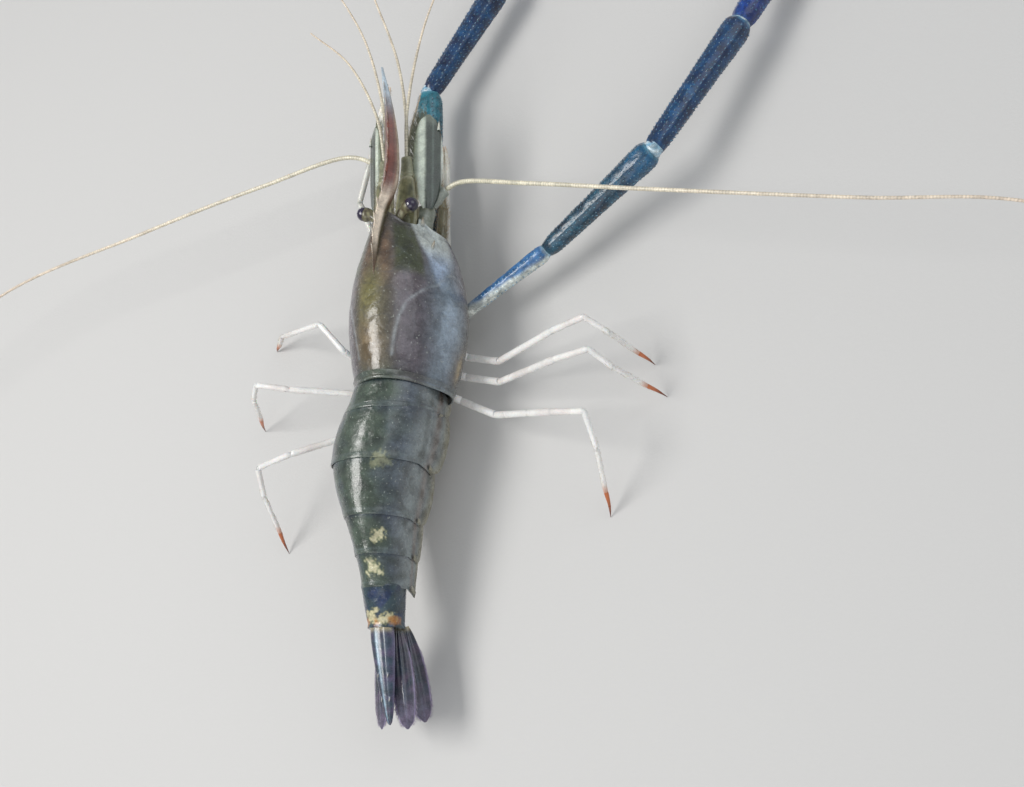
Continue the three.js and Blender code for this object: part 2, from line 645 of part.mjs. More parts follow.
// Each blade's root and tip beside the middle line, and how steeply it leans down and outward
const FAN_BLADES = {
  inner: { root: [3.4, 25.2], tip: [5.2, -118.5, 22.6], half: 3.9, lean: 25 },
  outer: { root: [5, 22.6], tip: [8.8, -116, 16.8], half: 4.3, lean: 50 },
};

// The rib down the middle of each blade
const RIB = { lift: 0.45, radii: [0.7, 0.55, 0.25] };

for (const [side, sign] of SIDES) {
  for (const [name, { root, tip, half, lean }] of Object.entries(FAN_BLADES)) {
    const turn = THREE.MathUtils.degToRad(lean);
    const normal = vec(sign * Math.sin(turn), 0, Math.cos(turn));
    const from = fanAt(sign * root[0], TAIL_EDGES[6] - 1.6 * GAP, root[1]);
    const to = fanAt(sign * tip[0], tip[1], tip[2]);
    const rib = tube(
      [0.04, 0.4, 0.92].map((t) => from.clone().lerp(to, t).addScaledVector(normal, RIB.lift)),
      RIB.radii,
      6,
    );
    add(`uropod_${name}_${side}`, leaf(from, to, normal, half, 0.55).add(rib), PAINT.fan);
  }
}

// The origin goes under the middle of the whole prawn, at floor level

const bounds = new THREE.Box3().setFromObject(prawn);
const middle = bounds.getCenter(vec(0, 0, 0));
prawn.position.set(-middle.x, -middle.y, 0);

export default prawn;
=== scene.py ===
import math

import bpy
import numpy as np
from mathutils import Matrix, Vector


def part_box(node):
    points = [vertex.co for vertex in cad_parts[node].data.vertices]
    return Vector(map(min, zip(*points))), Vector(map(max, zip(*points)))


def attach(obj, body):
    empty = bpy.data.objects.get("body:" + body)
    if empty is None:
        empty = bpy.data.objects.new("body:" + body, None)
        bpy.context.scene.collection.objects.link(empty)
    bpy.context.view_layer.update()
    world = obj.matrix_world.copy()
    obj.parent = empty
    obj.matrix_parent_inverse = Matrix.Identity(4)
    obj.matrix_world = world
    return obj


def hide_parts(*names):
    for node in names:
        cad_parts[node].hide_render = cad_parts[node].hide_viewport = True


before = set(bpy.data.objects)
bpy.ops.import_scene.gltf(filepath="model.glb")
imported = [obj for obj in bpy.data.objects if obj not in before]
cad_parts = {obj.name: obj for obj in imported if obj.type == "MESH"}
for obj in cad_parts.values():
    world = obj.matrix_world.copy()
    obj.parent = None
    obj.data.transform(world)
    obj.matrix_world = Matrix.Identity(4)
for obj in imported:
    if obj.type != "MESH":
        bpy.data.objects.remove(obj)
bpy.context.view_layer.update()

# Measures are in millimetres in the body's own frame: +Y to the head, +X to the animal's right,
# +Z up from the floor, and Y 0 at the hind edge of the head shield.
MM = 0.001
TAIL_TIP = -117.0
# No point of the model is lower than this, so nothing goes through the floor
LOWEST = 0.01
# Each hair of a coat has a patch this wide on the bake map
BAKE_PATCH = 0.003
HAIR_SIDES = 3
HAIR_SINK = 0.1


def middle_x(node):
    low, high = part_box(node)
    return 0.5 * (low.x + high.x)


ORIGIN = np.array([
    0.5 * (middle_x("eye_right") + middle_x("eye_left")),
    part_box("telson")[0].y - TAIL_TIP * MM,
    0.0,
])
SIDES = (("right", 1.0), ("left", -1.0))
UP = np.array([0.0, 0.0, 1.0])


# Numbers and curves

def vec(*values):
    return np.array(values, float)


def mirror(point, sign):
    """The place on the animal's right (1) or left (-1) of a point given for its right"""
    return vec(*point) * vec(sign, 1, 1)


def rows_of(start, end, count):
    """Evenly spaced values, as one column"""
    return np.linspace(start, end, count)[:, None]


def turns(count):
    """Angles about a ring, as one row"""
    return np.linspace(0, 2 * np.pi, count, endpoint=False)[None, :]


def grid_of(x, y, z):
    """Points from columns, rows and single values of each coordinate"""
    return np.stack(np.broadcast_arrays(x, y, z), axis=-1)


def lerp(start, end, share):
    return start + (end - start) * share


def ease(low, high, values):
    share = np.clip((values - low) / (high - low), 0, 1)
    return share * share * (3 - 2 * share)


def bell(values, middle, spread):
    return np.exp(-(((values - middle) / spread) ** 2))


def signed(values, power):
    """A power that keeps the sign"""
    return np.sign(values) * np.abs(values) ** power


def unit(vectors):
    return vectors / np.maximum(np.linalg.norm(vectors, axis=-1, keepdims=True), 1e-9)


def smooth(stations, values):
    stations = np.array(stations, float)
    values = np.array(values, float)
    index = np.arange(len(stations))
    before = np.maximum(index - 1, 0)
    after = np.minimum(index + 1, len(stations) - 1)
    slopes = (values[after] - values[before]) / (stations[after] - stations[before])

    def at(place):
        place = np.asarray(place, float)
        i = np.clip(np.searchsorted(stations, place, side="right") - 1, 0, len(stations) - 2)
        span = stations[i + 1] - stations[i]
        t = np.clip((place - stations[i]) / span, 0, 1)
        rise = lerp(values[i], values[i + 1], t * t * (3 - 2 * t))
        return rise + span * (t * (1 - t) ** 2 * slopes[i] - t * t * (1 - t) * slopes[i + 1])

    return at


def taper(count, places, widths):
    return np.interp(np.linspace(0, 1, count), places, widths)


def curve(route, count):
    """Points evenly spaced along a centripetal curve through the route"""
    route = np.array(route, float)
    ends = [2 * route[0] - route[1], *route, 2 * route[-1] - route[-2]]
    t = np.linspace(0, 1, 40, endpoint=False)[:, None]
    fine = []
    for p0, p1, p2, p3 in zip(ends[:-3], ends[1:-2], ends[2:-1], ends[3:]):
        steps = np.diff([p0, p1, p2, p3], axis=0)
        d0, d1, d2 = (max(np.linalg.norm(step), 1e-6) ** 0.5 for step in steps)
        t1 = ((p1 - p0) / d0 - (p2 - p0) / (d0 + d1) + (p2 - p1) / d1) * d1
        t2 = ((p2 - p1) / d1 - (p3 - p1) / (d1 + d2) + (p3 - p2) / d2) * d1
        square = 3 * (p2 - p1) - 2 * t1 - t2
        cube = 2 * (p1 - p2) + t1 + t2
        fine.append(p1 + t1 * t + square * t ** 2 + cube * t ** 3)
    fine = np.concatenate([*fine, route[-1:]])
    far = np.concatenate([[0], np.cumsum(np.linalg.norm(np.diff(fine, axis=0), axis=1))])
    wanted = np.linspace(0, 1, count) * far[-1]
    return np.stack([np.interp(wanted, far, fine[:, k]) for k in range(3)], axis=1)


def frames(points):
    """The directions beside and above a line of points, carried along it without twisting"""
    ways = np.zeros_like(points)
    runs = unit(np.diff(points, axis=0))
    ways[:-1] += runs
    ways[1:] += runs
    ways = unit(ways)
    side = unit(np.cross(ways[0], UP))
    sides = []
    for way in ways:
        side = unit(side - way * side.dot(way))
        sides.append(side)
    sides = np.array(sides)
    return sides, np.cross(ways, sides)


def tube(points, radii, count, flat=1.0):
    side, other = frames(points)
    angle = turns(count)[..., None]
    radii = np.broadcast_to(np.asarray(radii, float), (len(points),))[:, None, None]
    spread = side[:, None] * np.cos(angle) + other[:, None] * np.sin(angle) * flat
    return points[:, None] + radii * spread


RIPPLE_WAVES = 7


def ripple(points, size, seed):
    """A gentle random wave over space, about -1 to 1, that repeats no pattern nearby"""
    rng = np.random.default_rng(seed)
    ways = unit(rng.normal(size=(RIPPLE_WAVES, 3)))
    ways = ways * rng.uniform(0.6, 1.5, (RIPPLE_WAVES, 1)) * 2 * np.pi / size
    phases = rng.uniform(0, 2 * np.pi, RIPPLE_WAVES)
    return np.sin(points @ ways.T + phases).sum(axis=-1) / math.sqrt(2 * RIPPLE_WAVES)


def blotches(points, size, seed, middle=0.5, strength=0.5):
    """Soft spots of a second colour, as shares from 0 to 1"""
    return np.clip(middle + strength * ripple(points, size, seed), 0, 1)


# Colour

def ink(code):
    """A linear colour from a web colour code"""
    levels = np.array([code >> 16 & 255, code >> 8 & 255, code & 255]) / 255
    return np.where(levels <= 0.04045, levels / 12.92, ((levels + 0.055) / 1.055) ** 2.4)


def mix(base, other, share):
    return lerp(base, other, np.asarray(share, float)[..., None])


def over(tone, *layers):
    """Lays colours over a tint in turn, each by its share"""
    for code, share in layers:
        tone = mix(tone, ink(code), share)
    return tone


def paint(grid, base, *layers):
    return over(np.broadcast_to(ink(base), grid.shape), *layers)


# Meshes

class Form:
    """Points, faces, tints and map places gathered for one piece"""

    def __init__(self):
        self.points = []
        self.tints = []
        self.spots = []
        self.quads = []
        self.tris = []
        self.count = 0

    def put(self, points, tints, quads=(), tris=(), spots=None):
        points = points.reshape(-1, 3)
        self.points.append(points)
        self.tints.append(tints.reshape(-1, 3))
        self.spots.append(np.zeros((len(points), 2)) if spots is None else spots.reshape(-1, 2))
        self.quads.append(np.array(quads, int).reshape(-1, 4) + self.count)
        self.tris.append(np.array(tris, int).reshape(-1, 3) + self.count)
        self.count += len(points)

    def sheet(self, grid, tint, closed=False):
        """A skin over a grid of rows; closed joins the last column to the first"""
        rows, columns = grid.shape[:2]
        index = np.arange(rows * columns).reshape(rows, columns)
        if closed:
            index = np.concatenate([index, index[:, :1]], axis=1)
        corners = [index[:-1, :-1], index[:-1, 1:], index[1:, 1:], index[1:, :-1]]
        self.put(grid, tint, np.stack(corners, axis=-1))

    def loft(self, rings, tint):
        """A closed body over rings, capped at both ends"""
        self.sheet(rings, tint, closed=True)
        for row, turned in ((0, True), (len(rings) - 1, False)):
            n = len(rings[row])
            hub = np.concatenate([rings[row], rings[row].mean(axis=0, keepdims=True)])
            shade = np.concatenate([tint[row], tint[row].mean(axis=0, keepdims=True)])
            step = np.arange(n)
            fan = np.stack([step, (step + 1) % n, np.full(n, n)], axis=1)
            self.put(hub, shade, tris=fan[:, ::-1] if turned else fan)

    def spikes(self, bases, ways, lengths, radii, root, tip, sides, sink=0.2, spots=None):
        """Many pointed spines or hairs at once, each sunk a little into what it grows from"""
        bases = np.asarray(bases, float)
        n = len(bases)
        ways = unit(np.broadcast_to(np.asarray(ways, float), (n, 3)))
        lengths = np.broadcast_to(np.asarray(lengths, float), (n,))[:, None]
        radii = np.broadcast_to(np.asarray(radii, float), (n,))[:, None, None]
        helper = np.where(np.abs(ways[:, 2:]) < 0.9, UP, np.array([1.0, 0, 0]))
        side = unit(np.cross(ways, helper))
        other = np.cross(ways, side)
        angle = turns(sides)
        spread = side[:, None] * np.cos(angle)[..., None] + other[:, None] * np.sin(angle)[..., None]
        points = np.concatenate([
            (bases - ways * lengths * sink)[:, None] + spread * radii,
            (bases + ways * lengths * 0.5)[:, None] + spread * radii * 0.58,
            (bases + ways * lengths)[:, None],
        ], axis=1)
        shade = np.repeat([root, lerp(root, tip, 0.5), tip], (sides, sides, 1), axis=0)
        step = np.arange(sides)
        after = (step + 1) % sides
        start = (np.arange(n) * (2 * sides + 1))[:, None, None]
        wall = np.stack([step, after, after + sides, step + sides], axis=1)[None] + start
        cone = np.stack([step + sides, after + sides, np.full(sides, 2 * sides)], axis=1)[None] + start
        if spots is not None:
            ring = np.concatenate([np.cos(angle), np.sin(angle)]).T
            fan = np.concatenate([ring, ring, [[0, 0]]])
            scale = np.repeat([1.0, 0.5, 0], (sides, sides, 1))[:, None]
            spots = spots[:, None] + fan * scale * BAKE_PATCH / 2
        self.put(points, np.tile(shade, (n, 1)), wall, cone, spots)

    def make(self, name, material, slot, *nodes, coat=False):
        """Turns what was gathered into one piece, which stands in for the solids of the nodes"""
        points = np.concatenate(self.points)
        points[:, 2] = np.maximum(points[:, 2], LOWEST)
        points = points * MM + ORIGIN
        tints = np.concatenate(self.tints)
        quads = np.concatenate(self.quads)
        tris = np.concatenate(self.tris)
        corners = np.concatenate([quads.ravel(), tris.ravel()])
        sizes = np.repeat([4, 3], (len(quads), len(tris)))
        mesh = bpy.data.meshes.new(name)
        mesh.vertices.add(len(points))
        mesh.vertices.foreach_set("co", points.ravel())
        mesh.loops.add(len(corners))
        mesh.loops.foreach_set("vertex_index", corners.astype(np.int32))
        mesh.polygons.add(len(sizes))
        starts = np.concatenate([[0], np.cumsum(sizes)[:-1]])
        mesh.polygons.foreach_set("loop_start", starts.astype(np.int32))
        mesh.polygons.foreach_set("use_smooth", np.ones(len(sizes), bool))
        mesh.update(calc_edges=True)
        tint = mesh.color_attributes.new(name="tint", type="FLOAT_COLOR", domain="POINT")
        tint.data.foreach_set("color", np.concatenate([tints, np.ones((len(tints), 1))], axis=1).ravel())
        if coat:
            layer = mesh.uv_layers.new(name="OFBake")
            layer.data.foreach_set("uv", np.concatenate(self.spots)[corners].ravel())
        mesh.materials.append(material)
        piece = bpy.data.objects.new(name, mesh)
        bpy.context.scene.collection.objects.link(piece)
        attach(piece, "root")
        if nodes:
            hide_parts(*nodes)

    def make_coat(self, name, slot):
        self.make(name, BRISTLE, slot, coat=True)


def lofted(name, rings, tint, material, slot, *nodes):
    form = Form()
    form.loft(rings, tint)
    form.make(name, material, slot, *nodes)


def outward(grid, closed=False):
    """Normals of a grid, for rows that run along a body and columns that turn right-handed about it"""
    if closed:
        around = np.roll(grid, -1, axis=1) - np.roll(grid, 1, axis=1)
    else:
        around = np.gradient(grid, axis=1)
    return unit(np.cross(around, np.gradient(grid, axis=0)))


def roughened(body, size, seed, height):
    """A closed body with its surface moved in and out by a gentle wave"""
    return body + outward(body, True) * (ripple(body, size, seed) * height)[..., None]


def fold(grid, tint, thick, depth, axis, last):
    """Turns one border of an open skin under, with a rounded lip and an inner face"""
    rim, second = (-1, -2) if last else (0, 1)
    edge = np.take(grid, rim, axis=axis)
    run = unit(edge - np.take(grid, second, axis=axis))
    normal = np.take(outward(grid), rim, axis=axis)
    added = [
        edge + run * thick * 0.4 - normal * thick * 0.2,
        edge + run * thick * 0.4 - normal * thick * 0.8,
        edge - normal * thick,
        edge - normal * thick - run * depth,
    ]
    if not last:
        added = added[::-1]
    added = np.stack(added, axis=axis)
    shades = np.stack([np.take(tint, rim, axis=axis)] * 4, axis=axis)
    order = slice(None) if last else slice(None, None, -1)
    return np.concatenate([grid, added][order], axis=axis), np.concatenate([tint, shades][order], axis=axis)


def fringe(form, edge, ways, lengths, radius, root, tip, level, spacing):
    """Hairs along a line of points, on three lines of the bake map from a level on"""
    count = len(edge)
    spots = np.stack([np.linspace(0.04, 0.96, count), level + (np.arange(count) % 3) * spacing], axis=1)
    form.spikes(edge, ways, lengths, radius, ink(root), ink(tip), HAIR_SIDES, HAIR_SINK, spots)


def tufts(form, body, rows, root, tip, length, count, seed, lean=0.8, radius=0.05):
    """Hairs scattered over part of a tube, leaning along it"""
    rng = np.random.default_rng(seed)
    out = outward(body, True)
    run = unit(np.gradient(body, axis=0))
    first, end = (int(share * len(body)) for share in rows)
    i = rng.integers(first, end, count)
    j = rng.integers(0, body.shape[1], count)
    ways = out[i, j] + run[i, j] * lean + rng.normal(0, 0.15, (count, 3))
    spots = np.stack([0.05 + 0.9 * i / len(body), 0.05 + 0.9 * j / body.shape[1]], axis=1)
    lengths = length * rng.uniform(0.6, 1.1, count)
    form.spikes(body[i, j], ways, lengths, radius, ink(root), ink(tip), HAIR_SIDES, HAIR_SINK, spots)


# Materials: the tint painted on the mesh, broken up by noise, with bump and gloss from noise too

def feed(tree, node, inputs):
    """Sets a node's inputs, each given as a value or as another node's output"""
    for place, value in inputs.items():
        if isinstance(value, bpy.types.NodeSocket):
            tree.links.new(value, node.inputs[place])
        else:
            node.inputs[place].default_value = value


def add(tree, kind, inputs, **settings):
    node = tree.nodes.new(kind)
    for name, value in settings.items():
        setattr(node, name, value)
    feed(tree, node, inputs)
    return node


# A mix node's sockets for colours go by number, because its sockets for numbers have the same names
MIX_UNDER, MIX_OVER, MIX_RESULT = 6, 7, 2


def skin(name, rough, coat, mottle, fine, bumps, soft=0.0, fleck=None, sheen=0.0, cells=None):
    """A material for one kind of surface

    rough holds the lowest and highest roughness, and coat its weight and roughness. mottle and fine
    hold a size in millimetres and how much the tint varies by, and bumps and cells hold sizes and
    heights. fleck holds the size, edge, strength and colour of small spots.
    """
    material = bpy.data.materials.new(name)
    material.use_nodes = True
    tree = material.node_tree
    where = add(tree, "ShaderNodeTexCoord", {}).outputs["Object"]
    colour = add(tree, "ShaderNodeAttribute", {}, attribute_name="tint").outputs["Color"]

    def noise(size, detail=3.0, roughness=0.55, warp=0.0):
        inputs = {"Scale": 1 / (size * MM), "Detail": detail, "Roughness": roughness, "Distortion": warp}
        return add(tree, "ShaderNodeTexNoise", {"Vector": where, **inputs}).outputs["Fac"]

    def ranged(value, low, high, start=0.3, end=0.7):
        inputs = {"Value": value, "From Min": start, "From Max": end, "To Min": low, "To Max": high}
        return add(tree, "ShaderNodeMapRange", inputs, interpolation_type="SMOOTHSTEP").outputs["Result"]

    for (_, spread), value in ((mottle, noise(mottle[0], 4, 0.6, 0.6)), (fine, noise(fine[0]))):
        inputs = {"Vector": colour, "Scale": ranged(value, 1 - spread, 1 + spread)}
        colour = add(tree, "ShaderNodeVectorMath", inputs, operation="SCALE").outputs["Vector"]
    if fleck:
        size, edge, amount, shade = fleck
        share = ranged(noise(size, 2, 0.5), 0, amount, edge, edge + 0.06)
        inputs = {"Factor": share, MIX_UNDER: colour, MIX_OVER: (*ink(shade), 1)}
        colour = add(tree, "ShaderNodeMix", inputs, data_type="RGBA").outputs[MIX_RESULT]

    reliefs = [(noise(size, 2.5), height, False) for size, height in bumps]
    if cells:
        facets = add(tree, "ShaderNodeTexVoronoi", {"Vector": where, "Scale": 1 / (cells[0] * MM)})
        reliefs.append((facets.outputs["Distance"], cells[1], True))
    normal = {}
    for value, height, inverted in reliefs:
        inputs = {"Height": value, "Distance": height * MM, **normal}
        normal = {"Normal": add(tree, "ShaderNodeBump", inputs, invert=inverted).outputs["Normal"]}
    feed(tree, tree.nodes["Principled BSDF"], {
        **normal,
        "Base Color": colour,
        "Roughness": ranged(noise(mottle[0] * 0.5), *rough),
        "Coat Weight": coat[0],
        "Coat Roughness": coat[1],
        "Subsurface Weight": soft,
        "Subsurface Radius": (1.0, 0.7, 0.5),
        "Subsurface Scale": 1.5 * MM,
        "Sheen Weight": sheen,
    })
    return material


SHELL = skin("wet_shell", (0.22, 0.38), (0.5, 0.12), (5.0, 0.3), (0.7, 0.14),
             ((4.2, 0.5), (1.5, 0.09), (0.5, 0.035)), 0.08, (0.9, 0.66, 0.35, 0xC9CFC4))
BELLY = skin("soft_underside", (0.35, 0.5), (0.2, 0.2), (4.0, 0.2), (0.6, 0.1), ((1.5, 0.12),), 0.15)
BLADE = skin("rostrum_shell", (0.25, 0.4), (0.4, 0.12), (4.0, 0.25), (0.5, 0.12), ((1.0, 0.05),), 0.05)
EYE = skin("eye_facets", (0.08, 0.14), (0.8, 0.04), (2.0, 0.3), (0.3, 0.1), ((3.0, 0.01),),
           cells=(0.16, 0.02))
WHIP = skin("feeler_whip", (0.3, 0.45), (0.25, 0.15), (7.0, 0.18), (0.9, 0.16), ((0.4, 0.03),), 0.1)
SCALE = skin("feeler_scale", (0.22, 0.36), (0.45, 0.1), (4.0, 0.22), (0.5, 0.12), ((0.8, 0.04),), 0.12)
LEG = skin("pale_leg", (0.25, 0.4), (0.4, 0.12), (7.0, 0.06), (0.7, 0.05), ((1.4, 0.06), (0.4, 0.02)), 0.2)
ARM = skin("blue_arm", (0.24, 0.4), (0.4, 0.12), (3.2, 0.4), (0.5, 0.18), ((1.1, 0.14), (0.35, 0.04)),
           fleck=(0.7, 0.66, 0.4, 0x4FA6B5))
VELVET = skin("velvet_finger", (0.75, 0.95), (0.0, 0.2), (2.5, 0.3), (0.35, 0.3), ((0.3, 0.12),),
              sheen=0.35)
BRISTLE = skin("bristle", (0.4, 0.55), (0.0, 0.2), (3.0, 0.2), (0.6, 0.15), ((0.5, 0.01),), 0.1)
FAN = skin("tail_fan", (0.2, 0.34), (0.5, 0.1), (4.0, 0.3), (0.5, 0.15), ((0.9, 0.06),), 0.08)

# Head shield

SHIELD_LENGTH = 64.0
SHIELD_STATIONS = (0, 10, 25, 40, 52, 60, SHIELD_LENGTH)
shield_half = smooth(SHIELD_STATIONS, (15.8, 18.4, 20, 18.2, 14, 10.4, 8.6))
shield_top = smooth(SHIELD_STATIONS, (49.6, 52, 54, 53.5, 52, 50.5, 49.8))
shield_low = smooth(SHIELD_STATIONS, (18, 14.5, 13, 14.8, 17.8, 23.5, 27))
skirt_power = smooth(SHIELD_STATIONS, (0.6, 0.6, 0.55, 0.42, 0.4, 0.5, 0.6))
# The lower flanks stand out beyond the back, most of all towards the front
shield_flare = smooth(SHIELD_STATIONS, (2.4, 2.6, 2.4, 2.8, 4.2, 4.8, 4.4))
CHEST_STATIONS = (3, 25, 44, 52, 58)
chest_half = smooth(CHEST_STATIONS, (8.5, 10.5, 7.5, 6, 4.5))
chest_top = smooth(CHEST_STATIONS, (21, 21, 21.5, 25, 30))
chest_low = smooth(CHEST_STATIONS, (14.5, 13.6, 13.8, 17, 22))
# How far forward the shield reaches at each angle from the ridge of the back, in degrees
front_margin = smooth(
    (0, 14, 30, 46, 60, 70, 76, 84, 105, 130, 165),
    (64, 64, 62.4, 60.6, 60.8, 61.6, 64, 60.6, 58, 55, 50),
)
# The grooves on each flank, as places of angle in degrees and length from the hind edge, width and depth
GROOVES = (
    (((70, 37), (58, 34.5), (46, 31), (36, 27.5), (29, 22), (24.5, 15), (22, 8)), 0.8, 0.13),
    (((78, 62), (83, 56), (87, 49), (89, 43)), 0.8, 0.14),
    (((70, 37), (79, 41), (89, 43), (99, 41), (108, 37)), 0.8, 0.1),
)
# About how many millimetres of the flank one degree covers
DEGREE_SPAN = 0.3
# The two spines at each side of the front edge: length from the hind edge, angle, direction, length, radius
HORNS = (
    (62.0, 76.0, (0, 1, 0.02), 3.1, 0.8),
    (52.8, 74.0, (0.38, 1, 0.05), 2.7, 0.75),
)
SHIELD_THICK = 0.5


def shield_at(y, degrees, inset=0.0):
    angle = np.radians(degrees)
    half = shield_half(y) - inset + shield_flare(y) * ease(58, 104, np.abs(degrees))
    top = shield_top(y) - inset
    low = shield_low(y) + inset
    widest = lerp(low, top, 0.38)
    across = np.sin(angle)
    rise = np.cos(angle)
    x = half * signed(across, np.where(rise >= 0, 1, skirt_power(y)))
    z = np.where(rise >= 0, widest + (top - widest) * rise, widest - (widest - low) * np.abs(rise) ** 0.7)
    back = 4.0 * np.maximum(0, 1 - y / 10) * (0.5 - 0.5 * rise) ** 0.8
    return np.stack([x, y - back, z], axis=-1)


def near_line(degrees, y, line):
    """Distance in millimetres from places on the shield to a line drawn on it"""
    best = np.full(degrees.shape, 1e3)
    for (a0, y0), (a1, y1) in zip(line[:-1], line[1:]):
        dx = (a1 - a0) * DEGREE_SPAN
        dy = y1 - y0
        px = (degrees - a0) * DEGREE_SPAN
        py = y - y0
        t = np.clip((px * dx + py * dy) / (dx * dx + dy * dy), 0, 1)
        best = np.minimum(best, np.hypot(px - t * dx, py - t * dy))
    return best


def patch(degrees, y, middle, place, wide, long):
    return np.exp(-((degrees - middle) / wide) ** 2 - ((y - place) / long) ** 2)


def shield_tint(grid, degrees, y):
    side = np.abs(degrees)
    wave = ripple(grid, 15, 3) * 0.5
    vein = np.abs(ripple(grid, 9, 4))
    green = ease(20, 27, side + 3 * wave) * ease(60, 54, side + 3 * wave) * ease(37, 42, y + 2 * wave)
    slant = 58 - y
    pale = ease(53 + 0.6 * slant, 61 + 0.6 * slant, side + 3 * wave)
    pale = pale * ease(106 - 1.2 * slant, 94 - 1.2 * slant, side + 5 * wave) * ease(32, 40, y + 2 * wave)
    tone = paint(
        grid, 0x54524A,
        (0x575158, ease(14, 34, side + 4 * wave)),
        (0x68757F, ease(46, 80, side + 8 * wave)),
        (0x3B4229, green * ease(64, 56, y) * 0.95),
        (0x6A6064, patch(side, y, 40, 35, 16, 4) * 0.6),
        (0x66503F, patch(side, y, 12, 47, 10, 13) * 0.85),
        (0x6F6A38, patch(degrees, y, -5, 30, 15, 10) * 0.85),
        (0x6B5838, patch(degrees, y, -4, 12, 17, 10) * 0.85),
        (0x28382C, patch(side, y, 14, -1, 26, 5) * 0.9),
        (0x706C76, ease(78, 98, side + 6 * wave) * ease(16, 40, y) * 0.7),
    )
    tone = mix(tone, mix(ink(0x9FB2CC), ink(0xBCC3BF), ease(44, 54, y)), pale * 0.95)
    return over(
        tone,
        (0x98A8B8, patch(side, y, 81, 20, 12, 20) * 0.85),
        (0x4C4238, patch(side, y, 100, 9, 15, 9) * 0.85),
        (0xA89878, patch(side, y, 99, 8, 5, 3.5) * 0.85),
        (0x8F7F68, patch(side, y, 118, 26, 20, 30) * 0.5),
        (0xA39A82, ease(146, 166, side) * 0.7),
        (0x3C4450, bell(vein, 0, 0.1) * 0.22),
        (0x30281E, bell(y, -0.5, 1.0) * 0.5 * ease(10, 60, side)),
    )


def carapace():
    share = rows_of(0, 1, 190)
    rough_y = share * SHIELD_LENGTH
    opening = (chest_half(np.clip(rough_y, 3, 56)) + 0.8) / (shield_half(rough_y) + shield_flare(rough_y))
    widest = 180 - np.degrees(np.arcsin(np.clip(opening, 0.05, 0.95) ** (1 / skirt_power(rough_y))))
    degrees = np.linspace(-1, 1, 220)[None, :] * widest
    y = lerp(0.15, front_margin(np.abs(degrees)), share)
    grid = shield_at(y, degrees)
    tone = shield_tint(grid, degrees, y)
    sink = ripple(grid, 13, 1) * 0.07 + ripple(grid, 5, 2) * 0.03
    for line, width, depth in GROOVES:
        away = near_line(np.abs(degrees), y, line)
        sink = sink - depth * np.exp(-(away / width) ** 2)
        # The thin pale line painted along each groove is a painted highlight
        tone = over(tone, (0xA9B2B6, 0.46 * np.exp(-(away / 0.5) ** 2) * (0.7 + 0.3 * ripple(grid, 7, 9))))
    hind = grid[:, :, 1] - grid[:1, :, 1]
    front = front_margin(np.abs(degrees)) - y
    sink = sink + 0.22 * bell(hind, 0.5, 0.5) - 0.14 * bell(hind, 1.9, 0.6)
    sink = sink + 0.14 * bell(front, 0.3, 0.4) - 0.1 * bell(front, 1.4, 0.5)
    tone = over(tone, (0x7C857C, 0.4 * bell(hind, 0.4, 0.4)))
    grid = grid + outward(grid) * sink[..., None]
    for axis, depth in ((0, 3.0), (1, 2.5)):
        for last in (True, False):
            grid, tone = fold(grid, tone, SHIELD_THICK, depth, axis, last)
    form = Form()
    form.sheet(grid, tone)
    for _, sign in SIDES:
        for y, degrees, way, length, radius in HORNS:
            base = shield_at(y, sign * degrees)
            form.spikes([base], mirror(way, sign), length, radius, ink(0x8A8F8C), ink(0xC9B79A), 10, 0.35)
    form.make("head_shield", SHELL, "shell", "carapace")


FRONT_SPAN = (48.0, 62.5)
FRONT_INSET = 0.8


def head_front():
    """The soft head inside the front of the shield, which the eyes and feelers come out of"""
    degrees = np.linspace(-180, 180, 72, endpoint=False)[None, :]
    share = rows_of(0, 1, 26)
    grid = shield_at(lerp(*FRONT_SPAN, share), degrees, FRONT_INSET)
    middle = grid.mean(axis=1, keepdims=True)
    round_off = np.sqrt(np.clip(1 - ease(0.5, 1.0, share) ** 2 * 0.93, 0, 1))[..., None]
    grid = roughened(middle + (grid - middle) * round_off, 5, 21, 0.25)
    tone = paint(grid, 0x6A6B58, (0x3A3F38, 0.5 + 0.4 * ripple(grid, 6, 22)))
    lofted("head_front", grid, tone, BELLY, "underside")


CHEST_SPAN = (3.2, 57.8)
CHEST_GROOVES = (9, 16.5, 24, 33, 43)


def chest():
    y = rows_of(*CHEST_SPAN, 70)
    turn = turns(48)
    middle = 0.5 * (chest_top(y) + chest_low(y))
    height = 0.5 * (chest_top(y) - chest_low(y))
    x = chest_half(y) * signed(np.sin(turn), 0.6)
    grid = grid_of(x, y, middle + height * signed(np.cos(turn), 0.6))
    groove = np.maximum.reduce([bell(y, at, 0.8) for at in CHEST_GROOVES])
    grid = grid - outward(grid, True) * (groove * 0.5)[..., None]
    tone = paint(grid, 0xB9B49E, (0x6E6F63, groove * 0.7))
    lofted("chest_plates", grid, tone, BELLY, "underside", "thorax_underside")


# Rostrum

BLADE_SPAN = (36.2, 119.9)
BLADE_STATIONS = (36, 50, 62, 75, 90, 105, 120)
blade_top = smooth(BLADE_STATIONS, (53.3, 55.6, 55.8, 53.6, 52.2, 53.8, 57.4))
blade_low = smooth(BLADE_STATIONS, (51, 50, 48.4, 46, 46.6, 50.4, 56.6))
blade_half = smooth(BLADE_STATIONS, (0.4, 0.9, 1.6, 2.9, 2.7, 1.8, 0.4))
# The blade isn't quite straight: it leans to the animal's right on its way to the tip
blade_sway = smooth(BLADE_STATIONS, (0, 0.2, 1.2, 2.9, 2.8, 2.4, 1.6))
# Teeth above and below: how many, from where to where, on which edge, which way and how long
BLADE_TEETH = ((12, 47, 112, blade_top, 1, 2.6), (11, 71, 113, blade_low, -1, 2.2))
BLADE_HAIRS = ((150, 44, 113, blade_top, 1), (120, 72, 114, blade_low, -1))


